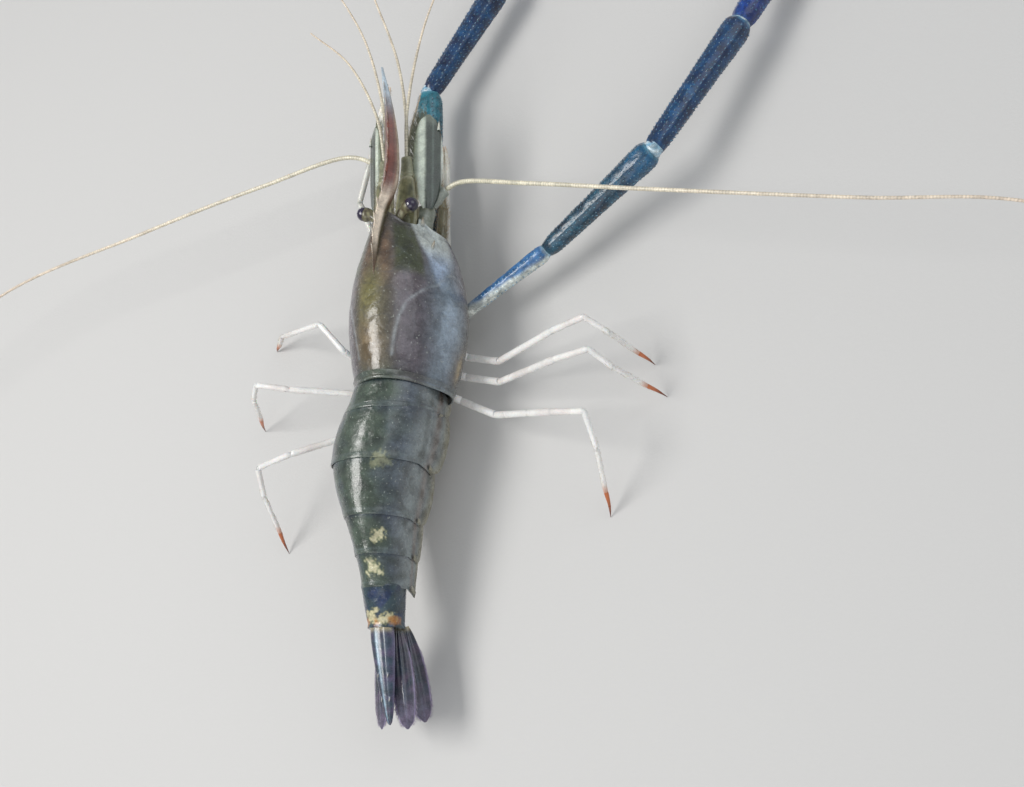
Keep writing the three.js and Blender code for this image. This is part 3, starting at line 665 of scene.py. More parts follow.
def blade_tint(grid, y, rise):
    return paint(
        grid, 0x6B382C,
        # The dark band above the pale middle of each face is painted shade
        (0x3E221C, bell(rise, 0.45, 0.12) * ease(64, 74, y) * 0.5),
        (0xC9BAA4, bell(rise, 0.02, 0.24) * ease(64, 74, y) * 0.8),
        (0x514C36, ease(72, 62, y) * 0.95),
        (0xE8D8C4, ease(0.0, 0.4, rise) * ease(76, 66, y) * ease(42, 54, y) * 0.95),
        (0x66503F, ease(52, 40, y) * 0.9),
        (0x8E8674, ease(-0.35, -0.9, rise) * 0.7 * ease(56, 66, y)),
        (0xA9BBC6, ease(98, 114, y) * 0.9),
    )


def tooth(form, at, edge, up, length):
    t = rows_of(0, 1, 7)
    turn = turns(10)
    base = vec(blade_sway(at), at, edge(at) - 0.25 * up)
    spine = base + grid_of(0, t * length * 0.95, up * length * (0.62 * t - 0.1 * t ** 2))
    size = (1 - t) ** 0.85
    ring = spine + grid_of(
        0.34 * size * np.cos(turn),
        -1.15 * size * np.sin(turn),
        up * 0.45 * size * np.sin(turn),
    )
    if up < 0:
        ring = ring[:, ::-1]
    form.loft(ring, over(blade_tint(ring, at, up), (0xD9CDBB, t * 0.7)))


def rostrum():
    y = rows_of(*BLADE_SPAN, 130)
    across = np.sin(turns(64))
    rise = np.cos(turns(64))
    ridge = 0.5 * (blade_top(y) + blade_low(y))
    height = 0.5 * (blade_top(y) - blade_low(y))
    thin = 0.16 + 0.84 * np.abs(across) ** 2.2
    keel = 0.75 + 0.25 * bell(np.abs(across), 1, 0.14)
    x = np.sign(across) * blade_half(y) * thin * keel * np.clip(np.abs(across) * 4, 0, 1)
    grid = grid_of(x + blade_sway(y), y, ridge + height * signed(rise, 0.9))
    form = Form()
    form.loft(grid, blade_tint(grid, y, rise))
    for count, start, end, edge, up, length in BLADE_TEETH:
        for at in np.linspace(start, end, count):
            tooth(form, at, edge, up, length)
    form.make("rostrum_blade", BLADE, "rostrum", "rostrum")

    rng = np.random.default_rng(31)
    hair = Form()
    for count, start, end, edge, up in BLADE_HAIRS:
        place = np.sort(rng.uniform(start, end, count))
        bases = grid_of(blade_sway(place) + rng.uniform(-0.15, 0.15, count), place, edge(place) - 0.1 * up)
        ways = grid_of(rng.uniform(-0.2, 0.2, count), 0.9, 0.7 * up)
        level = np.full(count, 0.25 + 0.25 * up)
        spots = np.stack([(place - start) / (end - start) * 0.9 + 0.05, level], axis=1)
        lengths = rng.uniform(0.8, 1.5, count)
        tones = (ink(0x8A6A55), ink(0xD8C4AE))
        hair.spikes(bases, ways, lengths, 0.05, *tones, HAIR_SIDES, HAIR_SINK, spots)
    hair.make_coat("rostrum_hair", "rostrum")


# Eyes

EYE_AT = (10.2, 66.6, 46.3)
EYE_RADIUS = 2.7
STALK_ROOT = (3.2, 61.2, 44.8)
STALK_BEND = (6.4, 65, 45.6)
STALK_RINGS = 26


def eyes():
    polar = rows_of(0.02, np.pi - 0.02, 36)[::-1]
    turn = turns(48)
    globe = grid_of(np.sin(polar) * np.cos(turn), np.sin(polar) * np.sin(turn), np.cos(polar))
    for side, sign in SIDES:
        centre = mirror(EYE_AT, sign)
        ball = centre + globe * (EYE_RADIUS - 0.02)
        # The violet over the upper part of each eye is a painted sheen
        tone = paint(ball, 0x0D0A12, (0x2B2140, ease(44, 49, ball[..., 2]) * 0.7))
        lofted(f"eye_ball_{side}", ball, tone, EYE, "eye", f"eye_{side}")
        route = curve([mirror(STALK_ROOT, sign), mirror(STALK_BEND, sign), centre], STALK_RINGS)
        width = taper(STALK_RINGS, [0, 0.3, 0.6, 0.86, 0.96, 1], [1.7, 1.75, 2.0, 2.75, 2.6, 2.2])
        cup = tube(route, width, 32)
        tone = paint(
            cup, 0x7D7A5E,
            (0x4A4334, 0.5 + 0.5 * ripple(cup, 2.2, 41)),
            (0x2A2418, ease(0.86, 0.97, rows_of(0, 1, STALK_RINGS))),
        )
        lofted(f"eye_stalk_{side}", cup, tone, WHIP, "stalk", f"eyestalk_{side}")


# Feelers

WHIPS = {
    "right": (
        ((4.6, 104, 43), (2, 128, 47), (-7, 156, 52), (-14, 178, 58)),
        ((6.6, 106, 46), (15, 135, 51), (28, 160, 55)),
        ((5, 101, 40), (8, 117, 39)),
    ),
    "left": (
        ((-5, 106, 43), (-11, 138, 50), (-26, 168, 58)),
        ((-6.6, 106, 46), (-18, 130, 50), (-36, 148, 52)),
        ((-5, 101, 40), (-8, 116, 38.6)),
    ),
}
WHIP_RINGS = (270, 210, 60)
# Each whip's radius at its root and at its tip, and its sides
FIRST_WHIP = (0.74, 0.29, 8)
SECOND_WHIP = (0.98, 0.32, 10)
SECOND_WHIP_RINGS = 900
STEM = ((4.3, 62.0, 39.6), (4.7, 76, 40.4), (4.8, 82.5, 41.2), (4.7, 89, 42))
RING_PITCH = 3
# The broad first length of each first feeler, where the eye lies on it, and the spine at its outer side
PLATE_ROOT = (4.6, 60.5, 40.2)
PLATE_TIP = (5.4, 81, 42)
PLATE_OUTLINE = smooth((0, 0.2, 0.45, 0.7, 0.9, 1), (0.9, 1, 0.95, 0.8, 0.66, 0.4))
PLATE_THORN = (3.5, 8.5, 0.2)
STUB_RINGS = 24
# The second feeler's stub, from root to elbow, and its thinner end, from knee to end
BASE = {
    "right": ((8, 60, 34), (9.4, 71, 33.6), (10, 72.6, 31.6), (15.4, 78.4, 30.5)),
    "left": ((-8, 60, 34), (-9.4, 71, 33.6), (-9.4, 73, 31.4), (-11, 84, 30.6)),
}
WHIP_ROUTES = {
    "right": ((16, 79, 30.4), (22, 80, 31.2), (52, 71.6, 35), (96, 59, 38), (169, 40, 40),
              (215, 29.5, 40), (266, 2, 38), (287.9, -40, 34)),
    "left": ((-11.1, 84.9, 30.5), (-14, 93, 30.8), (-26, 100, 33), (-66, 94.6, 36), (-127, 84, 38),
             (-208, 68, 38), (-264, 36, 36), (-285.9, -10, 32)),
}
LEAF = smooth((0, 0.1, 0.3, 0.55, 0.8, 0.93, 1), (0.3, 0.55, 0.88, 1, 0.88, 0.6, 0.1))
SCALE_OUTLINE = smooth((0, 0.12, 0.35, 0.6, 0.8, 0.93, 1), (0.35, 0.7, 0.98, 1, 0.86, 0.58, 0.1))
SCALE_ROOT = (11.4, 69, 36.3)
SCALE_TIP = (12, 107, 39)
# Ribs: where they lie across a blade from -1 to 1, how high they stand, and how broad they are
PLATE_RIBS = ((0.85, 0.6, 0.18), (-0.7, 0.5, 0.18))
SCALE_RIBS = ((-0.12, 0.16, 0.09), (0.3, 0.12, 0.08), (0.82, 0.3, 0.14))


def segments(joints, radii, count, tone, seam, rings, swell, flat=1.0):
    """Jointed lengths with a rounded collar at each joint, for a leg or the stem of a feeler"""
    t = np.linspace(0, 1, rings)
    bulge = 1 + swell * bell(t, 0.9, 0.14) + 0.3 * swell * bell(t, 0.1, 0.1)
    pinch = 1 - 0.07 * bell(t, 0, 0.03) - 0.07 * bell(t, 1, 0.03)
    points = np.concatenate([lerp(start, end, t[:, None]) for start, end in zip(joints[:-1], joints[1:])])
    points = points + np.arange(len(points))[:, None] * 1e-6
    widths = [lerp(near, far, t) * bulge * pinch for near, far in zip(radii[:-1], radii[1:])]
    body = tube(points, np.concatenate(widths), count, flat)
    collar = np.tile(np.maximum(bell(t, 0, 0.03), bell(t, 1, 0.03)), len(joints) - 1)
    return body, paint(body, tone, (seam, collar[:, None] * 0.4))


def ringed(route, count, size, tone, tip):
    """A whip of many short rings, each a little wider at its far end"""
    wide, narrow, sides = size
    share = np.linspace(0, 1, count)
    step = np.arange(count) % RING_PITCH
    radii = lerp(wide, narrow, share) * (0.93 + 0.07 * step / (RING_PITCH - 1))
    body = tube(curve(route, count), radii, sides)
    shade = paint(body, tone, (tip, share[:, None]))
    return body, mix(shade, shade * 0.6, (step == 0)[:, None] * 0.5)


def leaf(root, tip, normal, half_width, half_thick, outline, rows, columns, ribs):
    """A flat blade whose ribs stand up along it; returns its rings, and each point's place on it"""
    way = unit(tip - root)
    side = unit(np.cross(way, normal))
    other = np.cross(way, side)
    t = rows_of(0, 1, rows)
    across = np.cos(turns(columns))
    sine = np.sin(turns(columns))
    width = outline(t)
    lift = signed(sine, 0.8) * np.minimum(1, width * 1.6) * half_thick
    for place, height, spread in ribs:
        lift = lift + np.sign(sine) * height * bell(across, place, spread) * np.abs(sine) * (1 - t ** 2)
    grid = (
        lerp(root, tip, t[..., None])
        + side * (across * width * half_width)[..., None]
        + other * lift[..., None]
    )
    return grid, t, across


def antennules():
    for side, sign in SIDES:
        form = Form()
        joints = [mirror(at, sign) for at in STEM]
        body, tone = segments(joints, (3.4, 3.1, 2.6, 1.9), 28, 0x999B80, 0xC9C4AC, 24, 0.08, 0.68)
        form.loft(body, over(tone, (0x5A5640, blotches(body, 3.2, 51, 0.4) * 0.7)))
        inside = mirror(lerp(vec(*STEM[-1]), vec(*STEM[0]), 0.06), sign)
        for route, count in zip(WHIPS[side], WHIP_RINGS):
            form.loft(*ringed([inside, *route], count, FIRST_WHIP, 0xCFCAB4, 0xD9C8B4))
        form.make(f"first_feeler_{side}", WHIP, "feeler", f"antennule_{side}")


def stem_plates():
    """The broad first length of each first feeler, with ribs, a spine and hairs"""
    for side, sign in SIDES:
        root = mirror(PLATE_ROOT, sign)
        tip = mirror(PLATE_TIP, sign)
        normal = unit(vec(sign * 0.2, 0, 1))
        plate, t, across = leaf(root, tip, normal, 4.3, 1.3, PLATE_OUTLINE, 50, 44, PLATE_RIBS)
        form = Form()
        form.loft(plate, paint(
            plate, 0x8E8C6A,
            (0x585A44, blotches(plate, 3.4, 52, 0.4, 0.6)),
            (0xA8A488, ease(0.8, 1, np.abs(across)) * 0.7),
            (0xC2BEA4, bell(t, 0.97, 0.04) * 0.6),
        ))
        thorn = root + mirror(PLATE_THORN, sign)
        form.spikes([thorn], vec(sign * 0.06, 1, 0.05), 5.0, 0.8, ink(0x8A876A), ink(0xD6CFB4), 10, 0.35)
        form.make(f"first_feeler_plate_{side}", WHIP, "stalk")
        rng = np.random.default_rng(53)
        hair = Form()
        count = 160
        share = np.sort(rng.uniform(0.15, 0.98, count))
        for edge, level in ((1, 0.2), (-1, 0.6)):
            base = lerp(root, tip, share[:, None])
            base = base + vec(edge, 0, -0.2 * edge * sign) * (PLATE_OUTLINE(share) * 4.2)[:, None]
            ways = vec(edge * 0.7, 1, 0.25) + rng.normal(0, 0.12, (count, 3))
            fringe(hair, base, ways, rng.uniform(1.4, 2.6, count), 0.06, 0x6E6850, 0xB5AC8C, level, 0.06)
        hair.make_coat(f"first_feeler_hair_{side}", "stalk")


def antennae():
    for side, _ in SIDES:
        form = Form()
        root, elbow, knee, end = (vec(*at) for at in BASE[side])
        thick = taper(STUB_RINGS, [0, 0.15, 0.5, 0.8, 0.94, 1], [3.2, 3.7, 3.5, 3.8, 3.4, 2.4])
        share = rows_of(0, 1, STUB_RINGS)
        stub = roughened(tube(lerp(root, elbow, share), thick, 36), 4, 61, 0.12)
        form.loft(stub, paint(
            stub, 0x8C9288,
            (0x5E6252, 0.5 + 0.5 * ripple(stub, 5, 62)),
            (0xC4C3AF, ease(0.9, 1, share) * 0.7),
        ))
        stem = [knee, lerp(knee, end, 0.45), end]
        form.loft(*segments(stem, (2.5, 2.35, 1.95), 24, 0x9AA097, 0xCFCBB5, 20, 0.12))
        form.make(f"second_feeler_base_{side}", WHIP, "stalk", f"antenna_base_{side}")
        whip, shade = ringed(WHIP_ROUTES[side], SECOND_WHIP_RINGS, SECOND_WHIP, 0xD8D4BE, 0xD9C4B4)
        nodes = (f"antenna_near_{side}", f"antenna_far_{side}")
        lofted(f"second_feeler_whip_{side}", whip, shade, WHIP, "feeler", *nodes)


def scales():
    for side, sign in SIDES:
        normal = unit(vec(sign * 0.75, 0, 1))
        outer = unit(vec(sign, 0, -0.75))
        root = mirror(SCALE_ROOT, sign)
        tip = mirror(SCALE_TIP, sign)
        grid, t, _ = leaf(root, tip, normal, 5.55, 0.42, SCALE_OUTLINE, 80, 60, SCALE_RIBS)
        place = np.clip((grid - lerp(root, tip, t[..., None])) @ outer / 5.6, -1, 1)
        form = Form()
        form.loft(grid, paint(
            grid, 0x2A352C,
            (0xCCD6C6, ease(-0.12, -0.34, place) * 0.95),
            (0xC9CFC6, ease(0.8, 0.92, place)),
            (0x63716A, bell(place, 0.3, 0.07) * 0.5),
            (0x66705A, ease(-0.55, -0.85, place) * 0.85),
            (0xA3ADA0, ease(0.86, 1, t) * 0.5),
        ))
        thorn = mirror(SCALE_TIP, sign) * vec(1, 0.95, 1) + outer * 4
        form.spikes([thorn], vec(0, 1, 0), 3.1, 0.62, ink(0xC9CFC6), ink(0xE0D8C6), 10, 0.35)
        form.make(f"feeler_scale_{side}", SCALE, "antenna_scale", f"antenna_scale_{side}")

        rng = np.random.default_rng(71)
        hair = Form()
        count = 560
        share = np.sort(rng.uniform(0.14, 0.995, count))
        inner = lerp(root, tip, share[:, None]) - outer * (SCALE_OUTLINE(share) * 5.5)[:, None]
        ways = vec(0, 1, 0) * 0.9 - outer * lerp(1.1, 0.3, share)[:, None] + rng.normal(0, 0.1, (count, 3))
        fringe(hair, inner, ways, rng.uniform(3.4, 6.0, count), 0.085, 0x5E6350, 0x9A9A84, 0.2, 0.1)
        hair.make_coat(f"feeler_scale_fringe_{side}", "antenna_scale")


# Jaw feet and first legs

JAW_FOOT = ((4.4, 49, 18.5), (6.6, 66, 17.2), (7, 78, 17), (5.6, 93, 20.5))
LEG_ONE = {
    "right": ((5, 41, 18), (8.6, 48, 14), (7, 64, 12.6), (6.4, 80, 13), (6, 90, 13.6)),
    "left": ((-5, 41, 18), (-12, 46, 15.6), (-21, 60, 13), (-30, 87, 20), (-18, 114, 27)),
}
# The nipper at the end of a first leg: how far along it lies, and how far its halves stand apart
NIPPER = ((-2, 0.2), (8.5, 0.9), (17, 0.4))
NIPPER_RINGS = 24


def jaw_feet():
    for side, sign in SIDES:
        joints = [mirror(at, sign) for at in JAW_FOOT]
        body, tone = segments(joints, (2, 2.1, 1.8, 0.85), 20, 0x8F8B74, 0x6A6650, 20, 0.08, 0.85)
        tone = over(tone, (0x6C6A54, blotches(body, 5, 81, 0.4, 0.4)))
        lofted(f"jaw_foot_{side}", body, tone, LEG, "walking_leg", f"maxilliped_{side}")
        hair = Form()
        tufts(hair, body, (0.3, 0.98), 0x8A7250, 0xC9AF88, 2.2, 900, 82)
        hair.make_coat(f"jaw_foot_hair_{side}", "walking_leg")


def first_legs():
    for side, _ in SIDES:
        joints = [vec(*at) for at in LEG_ONE[side]]
        form = Form()
        form.loft(*segments(joints, (1.6, 1.5, 1.35, 1.2, 1.35), 18, 0xCFCFC8, 0x9EA6A0, 22, 0.06))
        end = joints[-1]
        way = unit(end - joints[-2])
        beside = unit(np.cross(way, UP))
        hair = Form()
        for lean in (1, -1):
            route = [end + way * far + beside * apart * lean for far, apart in NIPPER]
            width = taper(NIPPER_RINGS, [0, 0.5, 0.9, 1], [1.45, 1.0, 0.5, 0.15])
            half = tube(curve(route, NIPPER_RINGS), width, 14)
            share = rows_of(0, 1, NIPPER_RINGS)
            form.loft(half, paint(half, 0xE3E1D6, (0xC79A6E, ease(0.8, 1, share) * 0.7)))
            tufts(hair, half, (0.45, 0.95), 0xA88E68, 0xD8C6A2, 1.3, 90, 91)
        form.make(f"first_leg_{side}", LEG, "walking_leg", f"leg1_{side}")
        hair.make_coat(f"first_leg_hair_{side}", "walking_leg")


# Walking legs

LEG_JOINTS = {
    "leg3_right": ((6, 20, 15), (16.5, 17.5, 10.6), (31, 13, 14), (59, 16, 29), (73, 17.3, 34),
                   (79.3, 13.2, 26), (86.8, 8.4, 0)),
    "leg4_right": ((6, 12.5, 15), (16, 9.7, 10.6), (31.4, 5, 14), (60, 5.3, 29), (74.6, 5.5, 34),
                   (80.2, 0.7, 26), (91, -4.1, 0)),
    "leg5_right": ((6, 5, 15), (14, 0.6, 10.6), (30, -7.5, 14), (59, -13.6, 29), (73, -16.3, 34),
                   (73.6, -27, 24), (69, -45.7, 0)),
    "leg3_left": ((-6, 21, 15), (-16, 19, 10.6), (-24, 17, 22), (-27, 20, 30), (-36, 31, 34),
                  (-71.5, 38.7, 10), (-81, 36.6, 0)),
    "leg4_left": ((-6, 13, 15), (-15, 11, 10.6), (-27, 7, 15), (-52, 8, 30), (-64, 10, 34),
                  (-71, 7, 26), (-84, 2, 0)),
    "leg5_left": ((-6, 5, 15), (-13, 0.6, 10.6), (-26, -7.5, 14), (-50, -18, 29), (-61, -23, 33),
                  (-64, -32, 24), (-68, -50, 0)),
}
LEG_TAPER = np.array([1.1, 1.02, 0.95, 0.88, 0.78, 0.66]) * 1.4
ANKLE_RADIUS = 0.8
# The orange claw takes up the rest of the last length
CLAW_SHARE = 0.62
CLAW_LOWEST = 0.02
CLAW_RINGS = 22


def walking_legs():
    for number, (name, places) in enumerate(LEG_JOINTS.items()):
        joints = [vec(*at) for at in places]
        foot = joints[-1]
        ankle = lerp(joints[-2], foot, CLAW_SHARE)
        radii = (*LEG_TAPER, ANKLE_RADIUS)
        body, tone = segments([*joints[:-1], ankle], radii, 18, 0xEAE9E6, 0xB4BABA, 26, 0.06)
        body = roughened(body, 6, 100 + number, 0.04)
        far = 1 - ease(0.5, 5, np.linalg.norm(body - ankle, axis=-1))
        form = Form()
        form.loft(body, over(
            tone,
            (0xD2C6C2, 0.4 * ease(0, 1, ripple(body, 18, 110 + number))),
            (0xC97A48, far * 0.75),
        ))
        way = unit(foot - joints[-2])
        inward = unit(vec(-foot[0], 0, 0))
        route = [ankle - way * 1.0, lerp(ankle, foot, 0.5) - inward * 0.35, foot + vec(0, 0, 0.12)]
        width = taper(CLAW_RINGS, [0, 0.15, 0.6, 1], [0.7, 0.84, 0.5, 0.09])
        claw = tube(curve(route, CLAW_RINGS), width, 14)
        claw[..., 2] = np.maximum(claw[..., 2], CLAW_LOWEST)
        form.loft(claw, paint(claw, 0xBF6A3A, (0x5C2814, ease(0.2, 0.95, rows_of(0, 1, CLAW_RINGS)))))
        form.make(f"walking_{name}", LEG, "walking_leg", name)
        hair = Form()
        tufts(hair, body, (0.78, 0.99), 0xA08660, 0xD8C6A2, 0.9, 130, 120 + number, 1.2, 0.04)
        hair.make_coat(f"walking_{name}_hair", "walking_leg")


# The big claw arms

ARM_JOINTS = {
    "right": ((8, 29.5, 13.4), (51, 53, 16), (96, 80, 25), (128, 128, 17), (158, 180, 6.4)),
    "left": ((-7, 31, 12.4), (-1, 67, 8.4), (-1, 131, 17), (28, 174, 14), (50, 230, 6.4)),
}
ARM_PIECES = ("ischium", "merus", "carpus", "palm")
ARM_RADII = ((2.2, 3.3), (3.6, 4.9), (4.1, 5.2), (4.9, 5.2))
ARM_SWELL = smooth((0, 0.05, 0.2, 0.6, 0.88, 0.96, 1), (0.74, 0.92, 0.98, 1, 1.05, 1, 0.78))
# Each piece keeps clear of its neighbours' end faces
ARM_REACH = (0.006, 0.994)
# Each length's base colour, blotch colour and end rim colour; the end rims are partly painted highlight
ARM_COLOURS = {
    "ischium": (0xB4BDBB, 0xD2D6CF, 0x9DB4BE),
    "merus": (0x0B2A40, 0x164C62, 0x5E93A6),
    "carpus": (0x0A2449, 0x134670, 0x5C93B8),
    "palm": (0x0B2560, 0x143F8C, 0x5580B4),
}
# The side of the first length that is blue; the rest of it is nearly white
BLUE_SIDE = unit(vec(-0.5, 0.5, 0.7))
MERUS_END = {"right": 0x1A5278, "left": 0x2C7A8A}
SPINULE_PITCH = 1.75
# Along a finger: share of its length, bow to the side, radius
FINGER = (
    (-0.16, 0.5, 2.9), (0, 0.62, 3), (0.3, 0.66, 2.6), (0.65, 0.62, 2), (0.88, 0.42, 1.4), (1, 0.16, 0.6),
)
FINGER_LENGTH = 42.0
FINGER_SPREAD = 4.0
FINGER_LOWEST = 0.05
# Teeth on a finger's inner edge: share of its length and size
FINGER_TEETH = np.array([
    (0.24, 1.5), (0.34, 1.1), (0.43, 0.75), (0.5, 0.7), (0.57, 0.65), (0.63, 0.6),
    (0.69, 0.55), (0.75, 0.5), (0.8, 0.45),
])


def arm_tint(piece, side, body, out, share, seed):
    base, light, joint = ARM_COLOURS[piece]
    tone = paint(body, base, (light, blotches(body, 9, seed, 0.45, 0.55)))
    tone = mix(tone, ink(base) * 0.4, 0.5 * bell(ripple(body, 4, seed + 1), 0, 0.15))
    if piece == "ischium":
        faces = out @ BLUE_SIDE + 1.3 * (share - 0.55) + 0.12 * ripple(body, 8, seed + 4)
        tone = over(tone, (0x1F5E94, ease(0, 0.6, faces) * ease(0.15, 0.4, share) * 0.95))
    if piece == "merus":
        tone = over(tone, (MERUS_END[side], ease(0.55, 0.95, share) * 0.7))
    # The paler rims at both ends of a length are partly the joint's own colour and partly painted highlight
    return over(tone, (joint, ease(0.975, 0.99, share) * 0.6), (joint, ease(0.02, 0.008, share) * 0.3))


def arm_piece(form, joints, index, side, seed):
    """One length of a claw arm with its rows of spinules"""
    piece = ARM_PIECES[index]
    start, end = joints[index], joints[index + 1]
    way = unit(end - start)
    length = np.linalg.norm(end - start)
    beside = unit(np.cross(way, UP))
    other = np.cross(way, beside)
    share = rows_of(*ARM_REACH, 90)
    turn = turns(40)
    width = lerp(*ARM_RADII[index], share) * ARM_SWELL(share)
    ribbing = 1 + 0.018 * np.cos(8 * turn + seed)
    spread = beside * np.cos(turn)[..., None] + other * np.sin(turn)[..., None]
    body = lerp(start, end, share[..., None]) + spread * (width * ribbing)[..., None]
    body = body + spread * (ripple(body, 3.5, seed + 2) * 0.09)[..., None]
    form.loft(body, arm_tint(piece, side, body, spread, share, seed))

    # The white first length has fewer, smaller spinules, on its far part only
    count, size, root = (14, 1, ink(ARM_COLOURS[piece][0]) * 0.9) if index else (8, 0.6, ink(0x3A6E94))
    rng = np.random.default_rng(seed)
    along = np.arange(0.07, 0.95, SPINULE_PITCH / length)
    if index == 0:
        along = along[along > 0.35]
    place, line = np.meshgrid(along, np.arange(count), indexing="ij")
    place = (place + (line % 2) * 0.85 / length + rng.normal(0, 0.12 / length, place.shape)).ravel()
    angle = (2 * np.pi * line / count).ravel() + rng.normal(0, 0.06, place.shape)
    out = beside * np.cos(angle)[:, None] + other * np.sin(angle)[:, None]
    radius = lerp(*ARM_RADII[index], place) * ARM_SWELL(place)
    bases = lerp(start, end, place[:, None]) + out * (radius * 0.985)[:, None]
    strong = (line % 3 == 0).ravel()
    sizes = np.where(strong, 0.85, 0.55) * rng.uniform(0.75, 1.2, place.shape) * size
    widths = np.where(strong, 0.36, 0.27) * rng.uniform(0.85, 1.1, place.shape)
    tip = lerp(ink(ARM_COLOURS[piece][1]), ink(0xA9DCF4), 0.45)
    form.spikes(bases, out + way * 0.95, sizes, widths, root, tip, 6, 0.3)


def membrane(form, at, before, after, radius):
    """The pale folded skin inside a joint"""
    t = np.linspace(-1, 1, 13)
    width = radius * (0.74 - 0.1 * np.abs(t)) * (1 + 0.05 * np.cos(t * 14))
    body = tube(at + unit(before + after) * t[:, None] * radius * 0.5, width, 28)
    form.loft(body, paint(body, 0x6F9DB8, (0xC2D2D8, 0.5 + 0.5 * ripple(body, 2, 7))))


def finger(form, hair, joints, lean, seed):
    end = joints[-1]
    way = unit((end - joints[-2]) * vec(1, 1, 0))
    side = unit(np.cross(way, UP))
    drop = (end[2] - 1.2) / 0.88
    line = np.array([
        end + way * t * FINGER_LENGTH + side * lean * bow * FINGER_SPREAD - UP * drop * max(t, 0)
        for t, bow, _ in FINGER
    ])
    count = 70
    route = curve(line, count)
    share = np.linspace(0, 1, count)
    known = np.concatenate([[0], np.cumsum(np.linalg.norm(np.diff(line, axis=0), axis=1))])
    radii = np.interp(share, known / known[-1], [radius for _, _, radius in FINGER])
    radii = radii * np.sqrt(np.clip(1 - ease(0.94, 1.0, share) * 0.75, 0, 1))
    body = roughened(tube(route, radii, 32), 2.4, seed, 0.08)
    body[..., 2] = np.maximum(body[..., 2], FINGER_LOWEST)
    form.loft(body, paint(
        body, 0x4A3827,
        (0x6E5638, blotches(body, 3, seed, 0.5, 0.6)),
        (0x0F2E5C, ease(0.28, 0.08, share[:, None]) * 0.9),
        (0xC79A62, ease(0.93, 0.99, share[:, None])),
    ))
    inner = -side * lean
    places, sizes = FINGER_TEETH.T
    where = (places * (count - 1)).astype(int)
    bases = route[where] + inner * (radii[where] * 0.9)[:, None]
    form.spikes(bases, inner + way * 0.1, sizes, sizes * 0.55, ink(0x6E5638), ink(0xD9C7A0), 8, 0.4)
    tufts(hair, body, (0.2, 0.9), 0x3E2E1E, 0x8A6E48, 0.8, 3600, seed + 5, 0.9, 0.055)


def arms():
    for number, (side, sign) in enumerate(SIDES):
        joints = [vec(*at) for at in ARM_JOINTS[side]]
        ways = [unit(after - before) for before, after in zip(joints[:-1], joints[1:])]
        for index, piece in enumerate(ARM_PIECES):
            form = Form()
            arm_piece(form, joints, index, side, 200 + 10 * index + 50 * number)
            if index < len(ARM_PIECES) - 1:
                membrane(form, joints[index + 1], ways[index], ways[index + 1], ARM_RADII[index][1])
            form.make(f"claw_arm_{piece}_{side}", ARM, "claw_arm", f"arm_{piece}_{side}")
        hair = Form()
        for role, lean, node, seed in (("fixed", sign, "palm", 307), ("moving", -sign, "finger", 300)):
            form = Form()
            finger(form, hair, joints, lean, seed + 20 * number)
            form.make(f"claw_finger_{role}_{side}", VELVET, "claw_finger", f"arm_{node}_{side}")
        hair.make_coat(f"claw_finger_velvet_{side}", "claw_finger")


# Tail

TAIL_EDGES = (0, -9, -27, -46, -59, -70, -84)
TAIL_STATIONS = (-84, -78, -64, -50, -36, -20, 0)
TOP_LEVEL = 50
tail_top = smooth(TAIL_STATIONS, (33, 35, 40, 45, 48.6, TOP_LEVEL, 49.2))
tail_half = smooth(TAIL_STATIONS, (6.6, 7, 8.6, 10.8, 14.6, 16.8, 15.4))
# The tail's middle line swings to the animal's left
swing = smooth((TAIL_TIP, -84, -60, -34, -20, -6, 4), (-2.5, -4.8, -5.4, -7.4, -6, -2, 0))
# The flap of each plate's side: lowest level, reach forwards and backwards, how far it stands out
FLAPS = ((17, 0, 0, 0), (14.5, 3, 3, 0.7), (16.5, 0, 2.5, 0.2), (19, 0, 2.5, 0.2), (20.5, 0, 2.5, 0.2))
# How much of a plate's half outline is its dome; the rest hangs down as the flap
DOME_SHARE = 0.66
BELLY_LEVEL = 24.0
UNDERSIDE_SPAN = (-72, 1.5)
LAST_LOW = 21
UNDER_LAP = 1.4
OVER_LAP = 1.1
# Pale and orange dabs on the back of the tail: beside its middle line, along the body, and size
PALE_DABS = (
    (9, -28.4, 2.8), (7.2, -30.4, 1.6), (11, -29.4, 1.4), (4.9, -54.3, 2.1), (6.4, -52.4, 1.0),
    (3.5, -56, 1.2), (1.9, -65, 2.6), (0.2, -63.1, 1.5), (3.5, -66.6, 1.4), (-0.8, -66.9, 1.1),
    (-1.6, -81.4, 2.6), (1.7, -82.2, 2), (-3.4, -80, 1.4), (4.2, -81.4, 1.9), (0.4, -78.9, 1.2),
)
ORANGE_DABS = ((5.2, -82.4, 1.7), (-5, -82.6, 1.7), (-0.4, -83, 1.2))
PADDLE_LENGTH = (15, 16.5, 15.5, 11.5, 9)
PADDLE_LEAN = (1.5, 1.5, 1, -0.8, -1.4)


def belly_level(y):
    return BELLY_LEVEL - 0.1 * (TOP_LEVEL - tail_top(y))


def dabs(grid, places, seed):
    """How far each point lies inside one of several spots with a soft, ragged edge"""
    ragged = 0.35 * ripple(grid, 2.2, seed) + 0.3 * ripple(grid, 0.9, seed + 1)
    share = np.zeros(grid.shape[:2])
    for beside, y, size in places:
        away = np.hypot(grid[..., 0] - swing(y) - beside, grid[..., 1] - y) / size
        share = np.maximum(share, ease(1.25, 0.3, away + ragged) * (grid[..., 2] > BELLY_LEVEL + 4))
    return share


